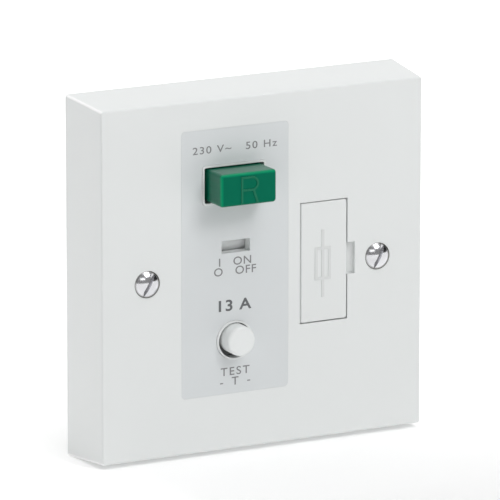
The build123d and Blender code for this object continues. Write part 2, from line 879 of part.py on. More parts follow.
def latch_outline():
    """The flat lever in x and z: a toe beside the carriage's tab, a boss, and a cranked lower arm."""
    left = latch_x - latch_arm / 2 - latch_arm_shift
    right = left + latch_arm
    toe = latch_tab_left - latch_gap
    elbow = latch_z - latch_elbow_drop
    foot_x = fork_x - fork_thick / 2
    foot_z = coil_z + plunger_seat_r + 2.0
    outline = Pos(latch_x, latch_z) * Circle(latch_boss_r)
    outline += Pos((left + right) / 2, (latch_top + elbow) / 2) * Rectangle(latch_arm, latch_top - elbow)
    outline += Pos((left + toe) / 2, latch_top - latch_toe_height / 2) * Rectangle(toe - left, latch_toe_height)
    crank = Polyline((left, elbow + 1), (right, elbow), (foot_x + latch_arm / 2, foot_z - 1),
                     (foot_x - latch_arm / 2, foot_z), close=True)
    outline += make_face(crank)
    outline -= Pos(latch_x, latch_z) * Circle(latch_pin_r + RUNNING)
    return outline


def latch_lever():
    """The lever, with a forked tab at its foot round the plunger's neck."""
    lever = prism(latch_outline(), latch_front_y, latch_front_y + latch_thick)
    half = plunger_collar_r + fork_margin
    fork_top = coil_z + plunger_seat_r + 2.2
    fork_bottom = coil_z - half
    fork = block(fork_x - fork_thick, fork_x, coil_y - half, coil_y + half, fork_bottom, fork_top)
    slot_r = plunger_neck_r + 0.15
    slot_top = coil_z + 0.5
    fork -= rod_x(coil_y, slot_top, slot_r, fork_x - 2, fork_x + 1)
    fork -= block(fork_x - 2, fork_x + 1, coil_y - slot_r, coil_y + slot_r, fork_bottom - 1, slot_top)
    return lever + fork


def latch_pin():
    """The lever's pivot, pressed into the frame, with a head that keeps the lever on."""
    head_y = latch_front_y + latch_thick + RUNNING
    pin = rod_y(latch_x, latch_z, latch_pin_r, frame_front_y, head_y)
    return pin + rod_y(latch_x, latch_z, latch_pin_head_r, head_y, head_y + latch_pin_head_thick)


def trip_plunger():
    """The steel plunger: a rod in the coil, a spring seat, a neck for the fork and an end collar."""
    neck_left = fork_x - fork_thick - fork_play
    seat_left = plunger_seat_x - plunger_seat_thick
    plunger = rod_x(coil_y, coil_z, plunger_r, plunger_seat_x, coil_left + plunger_inside)
    plunger += rod_x(coil_y, coil_z, plunger_seat_r, seat_left, plunger_seat_x)
    plunger += rod_x(coil_y, coil_z, plunger_neck_r, neck_left, seat_left)
    plunger += rod_x(coil_y, coil_z, plunger_collar_r, neck_left - plunger_collar_thick, neck_left)
    return plunger


def plunger_spring():
    place = Pos(plunger_seat_x, coil_y, coil_z) * Rot(0, 90, 0)
    return coil_spring(place, plunger_coil_r, plunger_wire_r, plunger_seat_gap, plunger_turns)


def coil_bobbin():
    bore = plunger_r + RUNNING
    tube = rod_x(coil_y, coil_z, bore + coil_tube_wall, coil_left, coil_right)
    for x0, x1 in ((coil_left, coil_left + coil_flange_thick), (coil_right - coil_flange_thick, coil_right)):
        tube += rod_x(coil_y, coil_z, coil_flange_r, x0, x1)
    return tube - rod_x(coil_y, coil_z, bore, coil_left - 1, coil_right + 1)


def coil_winding():
    left = coil_left + coil_flange_thick
    right = coil_right - coil_flange_thick
    inner = plunger_r + RUNNING + coil_tube_wall
    return rod_x(coil_y, coil_z, coil_winding_r, left, right) - rod_x(coil_y, coil_z, inner, left - 1, right + 1)


def coil_yoke():
    """A steel bracket round the coil: two end plates on a base, with a stop for the plunger."""
    half = coil_flange_r
    base_y = board_front_y - yoke_thick
    front = coil_y - half
    left_end = block(coil_left - yoke_thick, coil_left, front, board_front_y, coil_z - half, coil_z + half)
    left_end -= rod_x(coil_y, coil_z, plunger_r + RUNNING, coil_left - 2, coil_left + 1)
    right_end = block(coil_right, coil_right + yoke_thick, front, board_front_y, coil_z - half, coil_z + half)
    base = block(coil_left, coil_right, base_y, board_front_y, coil_z - half, coil_z + half)
    stop_left = coil_left + plunger_inside + plunger_travel + 2 * SEATED
    stop = rod_x(coil_y, coil_z, plunger_r, stop_left, coil_right)
    return left_end + right_end + base + stop


# Rear housing

def flange_half():
    """Half the housing flange's width, fitting inside the cover at that depth."""
    lean = plate_draft * -frame_rear_y / plate_depth
    return plate_width / 2 - plate_wall - lean - BESIDE


def terminal_places():
    """Each terminal's name and place: supply cables enter from below, load cables from above."""
    sides = {"supply": -1, "load": 1}
    return [(f"{side}_{pole}", x, hand) for side, hand in sides.items() for pole, x in terminal_columns.items()]


def housing_terminal_details(x, hand):
    """The partitions and screw ring that hold one terminal, and the holes for its cable and screwdriver."""
    screw_z = hand * terminal_screw_z
    z_ends = sorted((hand * (well_half - well_wall + ROOTED), hand * (terminal_inner_z)))
    solids = [rod_y(x, screw_z, driver_hole_r + driver_ring_wall, terminal_rear_y + PRESSED, floor_y + ROOTED)]
    for side in (-1, 1):
        near = x + side * (terminal_width / 2 + partition_gap)
        x_ends = sorted((near, near + side * partition_thick))
        solids.append(block(*x_ends, terminal_front_y, floor_y + ROOTED, *z_ends))
    wall_ends = sorted((hand * (well_half - well_wall - 1), hand * (well_half + 1)))
    cuts = [rod_y(x, screw_z, driver_hole_r, terminal_rear_y - 1, well_depth + 1),
            rod_z(x, terminal_bore_y, entry_hole_r, *wall_ends)]
    return solids, cuts


def rear_housing():
    half = flange_half()
    body = prism(Rectangle(2 * half, 2 * half), frame_rear_y, flange_rear_y)
    body += prism(well_outline(0), frame_rear_y, well_depth)
    rear_face = body.faces().sort_by(Axis.Y)[-1]
    body = fillet(rear_face.edges(), well_edge)
    body -= prism(well_outline(well_wall), frame_rear_y - 1, floor_y)
    for x, z in four_corners(board_screw_at):
        body += rod_y(x, z, board_post_r, board_rear_y, floor_y + ROOTED)
    cuts = []
    for _, x, hand in terminal_places():
        solids, holes = housing_terminal_details(x, hand)
        for piece in solids:
            body += piece
        cuts += holes
    for x, z in four_corners(board_screw_at):
        cuts.append(rod_y(x, z, board_screw_r + PRESSED, board_rear_y - 1, board_front_y + board_screw_length + BESIDE))
    for x, z in four_corners(cover_boss_at):
        cuts.append(rod_y(x, z, housing_screw_r + BESIDE, frame_rear_y - 1, flange_rear_y + 1))
    for hand in (-1, 1):
        cuts.append(rod_y(hand * fixing_x, 0, pillar_r + pillar_room, frame_rear_y - 1, flange_rear_y + 1))
    for cut in cuts:
        body -= cut
    return body


def cross_recess(x, y, z, span, deep):
    """A cross cut into a screw head from behind or in front."""
    return Pos(x, y, z) * (Box(span, 2 * deep, span / 4) + Box(span / 4, 2 * deep, span))


def housing_screws():
    """Four screws that hold the rear housing to the cover's bosses."""
    screws = []
    for x, z in four_corners(cover_boss_at):
        head_rear = flange_rear_y + housing_head_thick
        screw = rod_y(x, z, housing_head_r, flange_rear_y, head_rear)
        screw += rod_y(x, z, housing_screw_r, flange_rear_y - housing_screw_length, flange_rear_y)
        screws.append(screw - cross_recess(x, head_rear, z, 1.3 * housing_head_r, housing_head_thick / 2))
    return screws


# Circuit board and its parts

def circuit_board():
    board = prism(well_outline(well_wall + board_gap), board_front_y, board_rear_y)
    for x, z in four_corners(board_screw_at):
        board -= rod_y(x, z, board_screw_r + BESIDE, board_front_y - 1, board_rear_y + 1)
    for x, z in strap_pins():
        board -= rod_y(x, z, strap_pin_r + PRESSED, board_front_y - 1, board_rear_y + 1)
    return board


def board_screws():
    screws = []
    for x, z in four_corners(board_screw_at):
        head_front = board_front_y - board_head_thick
        screw = rod_y(x, z, board_head_r, head_front, board_front_y)
        screw += rod_y(x, z, board_screw_r, board_front_y, board_front_y + board_screw_length)
        screws.append(screw - cross_recess(x, head_front, z, 1.3 * board_head_r, board_head_thick / 2))
    return screws


def terminal_pin_z(hand):
    """A strap's pin meets its terminal near the terminal's inner end."""
    return hand * (terminal_inner_z + strap_pin_inset)


def ring_hole_x(side):
    """Where a conductor passes through the sensing ring, to one side of its middle."""
    return ring_x + side * lead_offset


def strap_pins():
    """Every place where a strap's pin goes through the board."""
    return [(terminal_columns["live"], terminal_pin_z(-1)), (terminal_columns["neutral"], terminal_pin_z(-1)),
            (ring_hole_x(-1), ring_z), (pole_left_x, pole_z[0])]


def flat_strap(points, y0, y1, width):
    """A flat strip that follows points in x and z, turning square corners."""
    half = width / 2
    strap = None
    for (xa, za), (xb, zb) in zip(points, points[1:]):
        run = block(min(xa, xb) - half, max(xa, xb) + half, y0, y1, min(za, zb) - half, max(za, zb) + half)
        strap = run if strap is None else strap + run
    return strap


def front_strap(points):
    return flat_strap(points, strap_front_y, board_front_y, strap_width)


def contact_leg_x():
    """The middle of a fuse contact's straight leg."""
    return carrier_x - contact_leaf / 2


def fused_live_strap():
    """From the upper fuse contact to the live pole."""
    top = carrier_z + contact_reach
    return front_strap([(pole_right_x, pole_z[0]), (contact_leg_x(), pole_z[0]), (contact_leg_x(), top)])


def supply_live_strap():
    """From the lower fuse contact to the live supply terminal."""
    z = terminal_pin_z(-1)
    x = terminal_columns["live"]
    strap = front_strap([(contact_leg_x(), carrier_z - contact_reach), (contact_leg_x(), z), (x, z)])
    return strap + rod_y(x, z, strap_pin_r, board_front_y, terminal_front_y)


def supply_neutral_strap():
    """From the neutral supply terminal up to the neutral pole."""
    z = terminal_pin_z(-1)
    x = terminal_columns["neutral"]
    rise_x = column_x + neutral_rise
    strap = front_strap([(x, z), (rise_x, z), (rise_x, pole_z[1]), (pole_right_x, pole_z[1])])
    return strap + rod_y(x, z, strap_pin_r, board_front_y, terminal_front_y)


def load_turn_z():
    """Where the load straps turn towards the sensing ring, below the lower pole."""
    return pole_z[1] - strap_width - strap_gap


def load_neutral_strap():
    """From the neutral pole to the middle of the sensing ring."""
    hole = ring_hole_x(-1)
    turn = load_turn_z()
    strap = front_strap([(pole_left_x, pole_z[1]), (pole_left_x, turn), (hole, turn), (hole, ring_z)])
    return strap + rod_y(hole, ring_z, strap_pin_r, board_front_y, board_rear_y)


def load_live_strap():
    """From the live pole through the board and along its back to the sensing ring."""
    hole = ring_hole_x(1)
    turn = load_turn_z()
    outer_x = pole_left_x - strap_pin_r
    pad = block(pole_left_x - strap_width / 2, pole_left_x + strap_width / 2, strap_front_y, board_front_y,
                pole_z[0] - strap_width / 2, pole_z[0] + strap_width / 2)
    pad += rod_y(pole_left_x, pole_z[0], strap_pin_r, board_front_y, board_rear_y)
    path = [(outer_x, pole_z[0]), (outer_x, turn), (hole, turn), (hole, ring_z)]
    return pad + flat_strap(path, board_rear_y, board_rear_y + rear_strap_thick, rear_strap_width)


def trip_chip():
    wide, deep, high = chip_size
    x, z = chip_at
    return block(x - wide / 2, x + wide / 2, board_front_y - deep, board_front_y, z - high / 2, z + high / 2)


def capacitor():
    x, z = capacitor_at
    return rod_y(x, z, capacitor_r, board_front_y - capacitor_height, board_front_y)


def thyristor():
    x, z = thyristor_at
    body = rod_y(x, z, thyristor_r, board_front_y - thyristor_height, board_front_y)
    near = 2 * thyristor_r
    return body & block(x - near, x + near, 0, board_front_y, z - near, z + 0.6 * thyristor_r)


def surge_disc():
    x, z = surge_disc_at
    return rod_y(x, z, surge_disc_r, board_rear_y, board_rear_y + surge_disc_thick)


def resistor(x, z, r):
    """A body standing off the board on its two bent wires."""
    y = board_front_y - r - resistor_standoff
    half = resistor_pitch / 2
    body = rod_z(x, y, r, z - resistor_length / 2, z + resistor_length / 2)
    body += rod_z(x, y, resistor_wire_r, z - half, z + half)
    for end in (z - half, z + half):
        body += rod_y(x, end, resistor_wire_r, y - resistor_wire_r, board_front_y)
    return body


def resistors():
    return [resistor(x, z, resistor_r) for x, z in resistors_at]


def test_resistor():
    x, z = test_resistor_at
    return resistor(x, z, test_resistor_r)


# Sensing ring

def ring_sector(inner, outer, y0, y1, degrees):
    """Part of a square-sectioned ring about the sensing ring's own axis."""
    profile = Polyline((inner, y0), (outer, y0), (outer, y1), (inner, y1), close=True)
    ring = revolve(Plane.XY * make_face(profile), Axis.Y, degrees)
    return Pos(ring_x, 0, ring_z) * ring


def ring_core():
    return ring_sector(ring_inner_r + ring_cover, ring_outer_r - ring_cover, ring_front_y + ring_cover,
                       ring_rear_y - ring_cover, 360)


def ring_winding():
    """Fine wire wound most of the way round the core."""
    cover = ring_cover - PRESSED
    outer = ring_sector(ring_inner_r, ring_outer_r, ring_front_y, ring_rear_y, ring_wound_angle)
    return outer - ring_sector(ring_inner_r + cover, ring_outer_r - cover, ring_front_y + cover,
                               ring_rear_y - cover, 360)


def lead(points):
    """An insulated lead along straight runs with round bends."""
    path = FilletPolyline(*points, radius=lead_bend)
    return sweep(Plane(origin=points[0], z_dir=(0, 1, 0)) * Circle(lead_r), path=path)


def lead_rear_y():
    return ring_rear_y + lead_r + lead_rear_gap


def load_live_lead():
    x, end_z = terminal_columns["live"], terminal_inner_z
    start_y = board_rear_y + rear_strap_thick
    start_x = ring_hole_x(1)
    end_y = terminal_bore_y + lead_r
    return lead([(start_x, start_y, ring_z), (start_x, lead_rear_y(), ring_z), (x - lead_run, lead_rear_y(), ring_z + lead_r),
                 (x, end_y, end_z - lead_run), (x, end_y, end_z)])


def load_neutral_lead():
    x, end_z = terminal_columns["neutral"], terminal_inner_z
    start_x = ring_hole_x(-1)
    end_y = terminal_bore_y + lead_r
    return lead([(start_x, board_rear_y, ring_z), (start_x, lead_rear_y(), ring_z),
                 (x - lead_run / 2, lead_rear_y(), end_z - lead_run - lead_r), (x, end_y, end_z - lead_last),
                 (x, end_y, end_z)])


# Terminals

def terminal(x, hand):
    """A brass block with a blind bore for the cable and a threaded hole for its screw."""
    outer = hand * terminal_outer_z
    inner = outer - hand * terminal_length
    body = block(x - terminal_width / 2, x + terminal_width / 2, terminal_front_y, terminal_rear_y,
                 min(inner, outer), max(inner, outer))
    body = chamfer(body.edges().filter_by(Axis.Z), 0.5)
    bore_ends = sorted((outer - hand * terminal_bore_length, outer + hand))
    body -= rod_z(x, terminal_bore_y, terminal_bore_r, *bore_ends)
    screw_z = hand * terminal_screw_z
    return body - rod_y(x, screw_z, terminal_screw_r + PRESSED, terminal_bore_y, terminal_rear_y + 1)


def terminal_screws():
    """Six slotted clamping screws, backed off clear of the cable bores."""
    screws = []
    for _, x, hand in terminal_places():
        z = hand * terminal_screw_z
        head_rear = terminal_head_y + terminal_head_thick
        tip_y = terminal_bore_y + terminal_bore_r + SEATED
        screw = rod_y(x, z, terminal_screw_r, tip_y, terminal_head_y)
        screw += rod_y(x, z, terminal_head_r, terminal_head_y, head_rear)
        slot = Box(3 * terminal_head_r, terminal_head_thick, 0.8)
        screws.append(screw - Pos(x, head_rear, z) * slot)
    return screws


def earth_strap():
    """Joins the two earth terminals, on their rear faces."""
    x = terminal_columns["earth"]
    end = terminal_screw_z - driver_hole_r - driver_ring_wall - PRESSED
    half = earth_strap_width / 2
    return block(x - half, x + half, terminal_rear_y, terminal_rear_y + strap_thick, -end, end)


# Fuse, its carrier and its chamber

def carrier_profile():
    """The carrier's end seen from above, in x and y: a sector about the hinge, squared off behind."""
    rear = front_y + carrier_rear
    left = hinge_x - carrier_hinge_web
    reach_y = rear - hinge_y
    corner_x = hinge_x + math.sqrt(hinge_reach ** 2 - reach_y ** 2)
    start_y = front_y + carrier_skin
    start_x = hinge_x + math.sqrt(hinge_reach ** 2 - (start_y - hinge_y) ** 2)
    middle = math.radians(0.5 * math.degrees(math.asin(reach_y / hinge_reach)))
    arc = ThreePointArc((start_x, start_y),
                        (hinge_x + hinge_reach * math.cos(middle), hinge_y + hinge_reach * math.sin(middle)),
                        (corner_x, rear))
    return make_face([Line((left, start_y), (start_x, start_y)), arc, Line((corner_x, rear), (left, rear)),
                      Line((left, rear), (left, start_y))])


def guard_wall():
    """The curved wall along the carrier's free side, which shields the chamber as it opens."""
    inner = hinge_reach - carrier_guard
    low = math.asin((carrier_skin - carrier_hinge_depth - carrier_guard_lap) / hinge_reach)
    high = math.radians(carrier_guard_angle)

    def at(r, angle):
        return hinge_x + r * math.cos(angle), hinge_y + r * math.sin(angle)

    middle = (low + high) / 2
    wall = make_face([ThreePointArc(at(inner, low), at(inner, middle), at(inner, high)),
                      Line(at(inner, high), at(hinge_reach, high)),
                      ThreePointArc(at(hinge_reach, high), at(hinge_reach, middle), at(hinge_reach, low)),
                      Line(at(hinge_reach, low), at(inner, low))])
    return Pos(0, 0, carrier_bottom) * extrude(Plane.XY * wall, carrier_height)


def carrier_saddle(z):
    """A rib that holds the fuse's body, open at the back and a little past its middle."""
    half = saddle_half()
    rib = block(carrier_x - half, carrier_x + half, front_y + carrier_skin - carrier_guard_lap, fuse_y + saddle_past,
                z - saddle_thick / 2, z + saddle_thick / 2)
    return rib - rod_z(carrier_x, fuse_y, fuse_body_r + SEATED, z - saddle_thick, z + saddle_thick)


def saddle_half():
    return fuse_body_r + saddle_wall


def fuse_symbol():
    """The plain fuse symbol: an upright rectangle with a line through it."""
    s = symbol_stroke
    box = Rectangle(symbol_width, symbol_height) - Rectangle(symbol_width - 2 * s, symbol_height - 2 * s)
    dx, dz = symbol_offset
    return Pos(carrier_x + dx, carrier_z + dz) * (box + Rectangle(s, symbol_line))


def fuse_carrier():
    """The hinged door: skin, two end webs, curved guard, two saddles, stub pins and its symbol."""
    skin = block(carrier_left, carrier_right, front_y, front_y + carrier_skin, carrier_bottom, carrier_top)
    skin = fillet(skin.edges().filter_by(Axis.Y).group_by(Axis.X)[-1], carrier_corner)
    skin = fillet(skin.faces().sort_by(Axis.Y)[0].edges(), carrier_edge)
    knuckle = rod_z(hinge_x, hinge_y, hinge_knuckle_r, carrier_bottom - 1, carrier_top + 1)
    body = skin & (knuckle + block(hinge_x, carrier_right + 1, front_y - 1, hinge_y + 2 * carrier_skin,
                                   carrier_bottom - 1, carrier_top + 1))
    for z in (carrier_bottom, carrier_top - carrier_web):
        body += Pos(0, 0, z) * extrude(Plane.XY * carrier_profile(), carrier_web)
    body += guard_wall()
    for hand in (-1, 1):
        body += carrier_saddle(carrier_z + hand * saddle_spacing / 2)
    body += rod_z(hinge_x, hinge_y, hinge_pin_r, carrier_bottom - hinge_pin_length, carrier_bottom)
    body += rod_z(hinge_x, hinge_y, hinge_pin_r, carrier_top, carrier_top + hinge_pin_length)
    body += prism(fuse_symbol(), front_y - symbol_proud, front_y + 0.1)
    return body


def fuse_body():
    """The ceramic tube between the caps."""
    half = fuse_length / 2 - fuse_cap_wall
    bottom, top = carrier_z - half, carrier_z + half
    tube = rod_z(carrier_x, fuse_y, fuse_body_r, bottom, top)
    return tube - rod_z(carrier_x, fuse_y, fuse_bore_r, bottom - 1, top + 1)


def fuse_caps():
    """Two pressed brass cups over the ends of the tube."""
    caps = []
    for hand in (-1, 1):
        end = carrier_z + hand * fuse_length / 2
        mouth = end - hand * fuse_cap_length
        floor = end - hand * fuse_cap_wall
        cup = rod_z(carrier_x, fuse_y, fuse_r, min(end, mouth), max(end, mouth))
        inside = sorted((floor, mouth - hand))
        caps.append(cup - rod_z(carrier_x, fuse_y, fuse_body_r, *inside))
    return caps


def fuse_wire():
    half = fuse_length / 2 - fuse_cap_wall
    return rod_z(carrier_x, fuse_y, fuse_wire_r, carrier_z - half, carrier_z + half)


def fuse_contact(hand):
    """A sprung strip that leans on a fuse cap from behind, with a straight leg down to its strap."""
    slant = math.sqrt(0.5)
    meet = fuse_r + SEATED
    middle = (carrier_x - slant * meet, fuse_y + slant * meet)

    def at(along, out):
        return middle[0] + slant * (along - out), middle[1] + slant * (along + out)

    leg_left = at(contact_leaf_half, contact_leaf)[0]
    leg_right = leg_left + contact_leaf
    side = Polyline(at(-contact_leaf_half, 0), at(contact_leaf_half + contact_leaf, 0),
                    (leg_right, strap_front_y), (leg_left, strap_front_y),
                    at(contact_leaf_half, contact_leaf), at(-contact_leaf_half, contact_leaf), close=True)
    z = carrier_z + hand * contact_reach
    low = min(z - contact_leaf_width / 2, z + contact_leaf_width / 2)
    return Pos(0, 0, low) * extrude(Plane.XY * make_face(side), contact_leaf_width)


def fuse_chamber():
    """The box behind the door that keeps fingers from the contacts, with feet on the board."""
    x0, x1 = carrier_left - carrier_gap, carrier_right + carrier_gap
    z0, z1 = carrier_bottom - carrier_gap, carrier_top + carrier_gap
    w = chamber_wall
    rear = frame_rear_y
    box = block(x0 - w, x1 + w, inside_y, rear, z0 - w, z1 + w)
    box -= block(x0, x1, inside_y - 1, rear - w, z0, z1)
    for hand in (-1, 1):
        z = carrier_z + hand * contact_reach
        half = contact_leaf_width / 2 + BESIDE
        slot_x = contact_leg_x()
        box -= block(slot_x - chamber_slot_half, slot_x + chamber_slot_half, rear - 2 * w, rear + 1, z - half, z + half)
        foot_x = carrier_x + hand * chamber_foot_spread
        box += rod_y(foot_x, carrier_z, chamber_foot_r, rear, board_front_y)
    return box


# Every piece under its own name

def all_nodes():
    nodes = {
        "front_cover": front_cover(),
        "label_panel": label_panel(),
        "fixing_screws": fixing_screws(),
        "reset_button": reset_button(),
        "reset_spring": reset_spring(),
        "test_button": test_button(),
        "test_spring": test_spring(),
        "test_blade": test_blade(),
        "test_post": test_post(),
        "indicator_flag": indicator_flag(),
        "flag_pin": flag_pin(),
        "mechanism_frame": mechanism_frame(),
        "guide_pins": guide_pin_pair(),
        "contact_carriage": contact_carriage(),
        "contact_bridges": contact_bridges(),
        "moving_contacts": moving_contacts(),
        "fixed_contacts": fixed_contacts(),
        "latch_lever": latch_lever(),
        "latch_pin": latch_pin(),
        "trip_plunger": trip_plunger(),
        "plunger_spring": plunger_spring(),
        "coil_bobbin": coil_bobbin(),
        "coil_winding": coil_winding(),
        "coil_yoke": coil_yoke(),
        "rear_housing": rear_housing(),
        "housing_screws": housing_screws(),
        "circuit_board": circuit_board(),
        "board_screws": board_screws(),
        "fused_live_strap": fused_live_strap(),
        "supply_live_strap": supply_live_strap(),
        "supply_neutral_strap": supply_neutral_strap(),
        "load_neutral_strap": load_neutral_strap(),
        "load_live_strap": load_live_strap(),
        "load_live_lead": load_live_lead(),
        "load_neutral_lead": load_neutral_lead(),
        "trip_chip": trip_chip(),
        "capacitor": capacitor(),
        "thyristor": thyristor(),
        "surge_disc": surge_disc(),
        "resistors": resistors(),
        "test_resistor": test_resistor(),
        "ring_core": ring_core(),
        "ring_winding": ring_winding(),
        "terminal_screws": terminal_screws(),
        "earth_strap": earth_strap(),
        "fuse_carrier": fuse_carrier(),
        "fuse_body": fuse_body(),
        "fuse_caps": fuse_caps(),
        "fuse_wire": fuse_wire(),
        "fuse_contact_lower": fuse_contact(-1),
        "fuse_contact_upper": fuse_contact(1),
        "fuse_chamber": fuse_chamber(),
    }
    for name, x, hand in terminal_places():
        nodes[f"{name}_terminal"] = terminal(x, hand)
    return nodes


def solids_of(shape):
    """A node's separate solids, from one shape or a list of shapes."""
    pieces = shape if isinstance(shape, list) else [shape]
    return [solid for piece in pieces for solid in piece.solids()]


os.makedirs("parts", exist_ok=True)
for node, shape in all_nodes().items():
    solids = solids_of(shape)
    export_step(Compound(children=solids) if len(solids) > 1 else solids[0], f"parts/{node}.step")
    print(node, len(solids), round(sum(solid.volume for solid in solids), 1))
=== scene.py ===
# %% [markdown]
# # A fused spur unit, dressed in Blender
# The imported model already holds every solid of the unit: the moulded plate, its
# buttons, the fuse door and all that sits behind them. This lesson loads it as a
# fixed frame, gives each solid the finish of the real piece, winds the springs and
# coils that plain solids only stand for, prints the label, and sets up the studio.

# %% Load the frame
import json
import math

import bmesh
import bpy
from mathutils import Matrix, Vector


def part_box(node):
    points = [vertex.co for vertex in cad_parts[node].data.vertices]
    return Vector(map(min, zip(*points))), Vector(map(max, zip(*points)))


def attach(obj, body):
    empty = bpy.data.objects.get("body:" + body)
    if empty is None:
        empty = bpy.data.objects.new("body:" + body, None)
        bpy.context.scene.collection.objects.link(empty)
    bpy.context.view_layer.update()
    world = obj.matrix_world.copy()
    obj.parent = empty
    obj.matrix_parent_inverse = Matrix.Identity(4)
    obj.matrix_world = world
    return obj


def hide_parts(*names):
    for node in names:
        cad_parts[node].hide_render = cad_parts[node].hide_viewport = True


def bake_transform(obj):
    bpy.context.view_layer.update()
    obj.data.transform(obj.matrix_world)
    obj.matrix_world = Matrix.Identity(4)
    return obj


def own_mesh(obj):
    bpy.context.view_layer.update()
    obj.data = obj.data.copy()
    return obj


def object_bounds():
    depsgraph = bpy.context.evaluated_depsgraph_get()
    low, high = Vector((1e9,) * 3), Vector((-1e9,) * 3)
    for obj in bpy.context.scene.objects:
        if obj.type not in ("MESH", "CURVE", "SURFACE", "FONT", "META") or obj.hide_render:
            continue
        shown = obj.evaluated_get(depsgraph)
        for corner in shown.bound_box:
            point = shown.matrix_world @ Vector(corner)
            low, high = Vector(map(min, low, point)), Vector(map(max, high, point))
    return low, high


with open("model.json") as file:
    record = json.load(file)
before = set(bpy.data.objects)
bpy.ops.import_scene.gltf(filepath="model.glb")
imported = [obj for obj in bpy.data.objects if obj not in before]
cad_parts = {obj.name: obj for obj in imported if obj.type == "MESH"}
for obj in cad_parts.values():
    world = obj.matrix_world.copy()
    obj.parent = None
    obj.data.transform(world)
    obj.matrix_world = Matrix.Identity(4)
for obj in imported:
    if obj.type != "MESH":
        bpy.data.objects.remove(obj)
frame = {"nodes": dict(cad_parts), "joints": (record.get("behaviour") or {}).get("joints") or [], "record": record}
cad_box = [list(corner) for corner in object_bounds()]
MM = 0.001

# %% [markdown]
# ## Sizes that the scene shares with the solids
# Blender works in metres here, so every size is written in millimetres and turned
# once.


# %% Read places from the solids
def mm_box(node):
    """A solid's lowest and highest corners, in millimetres."""
    low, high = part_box(node)
    return low / MM, high / MM


label_low, label_high = mm_box("label_panel")
face_y = label_low.y
label_x = (label_low.x + label_high.x) / 2
button_low, button_high = mm_box("reset_button")


def corners_ahead_of(node, y):
    """The corners of the part of a solid that stands in front of a depth, in millimetres."""
    places = [vertex.co / MM for vertex in frame["nodes"][node].data.vertices if vertex.co.y / MM < y]
    low = Vector([min(place[axis] for place in places) for axis in range(3)])
    return low, Vector([max(place[axis] for place in places) for axis in range(3)])


button_cap_low, button_cap_high = corners_ahead_of("reset_button", face_y)
print("green cap", [round(size, 2) for size in button_cap_high - button_cap_low])
print("plate face at y", round(face_y, 2), "label middle at x", round(label_x, 2))

# %% [markdown]
# ## Shader maths as plain expressions
# A node tree is easier to read as arithmetic. `Signal` wraps one output socket and
# adds a Math node for each operator, with the reflected forms so that `1 - mask`
# works. Colours and vectors go through Mix and Vector Math, because a Math node
# would turn a colour grey.


# %% A socket that can be added, multiplied and compared
class Signal:
    """One output socket of a node tree."""

    def __init__(self, tree, socket):
        self.tree = tree
        self.socket = socket

    def _math(self, operation, other=None, swap=False):
        values = [self] if other is None else [self, other]
        if swap:
            values.reverse()
        return self.tree.node("ShaderNodeMath", {"operation": operation}, dict(enumerate(values)))

    def __add__(self, other):
        return self._math("ADD", other)

    __radd__ = __add__

    def __sub__(self, other):
        return self._math("SUBTRACT", other)

    def __rsub__(self, other):
        return self._math("SUBTRACT", other, swap=True)

    def __mul__(self, other):
        return self._math("MULTIPLY", other)

    __rmul__ = __mul__

    def __gt__(self, other):
        return self._math("GREATER_THAN", other)

    def __lt__(self, other):
        return self._math("LESS_THAN", other)

    def sine(self):
        return self._math("SINE")

    def size(self):
        """The value without its sign."""
        return self._math("ABSOLUTE")

    def root(self):
        return self._math("SQRT")

    def most(self, other):
        """The larger of the two."""
        return self._math("MAXIMUM", other)

    def wrap(self, size):
        """The remainder after whole steps of size, from 0 to size."""
        return self.tree.node("ShaderNodeMath", {"operation": "WRAP"}, {0: self, 1: size, 2: 0.0})

    def smooth(self, low, high):
        """A soft step from 0 below low to 1 above high."""
        return self.tree.node("ShaderNodeMapRange", {"interpolation_type": "SMOOTHSTEP", "clamp": True},
                              {"Value": self, "From Min": low, "From Max": high})


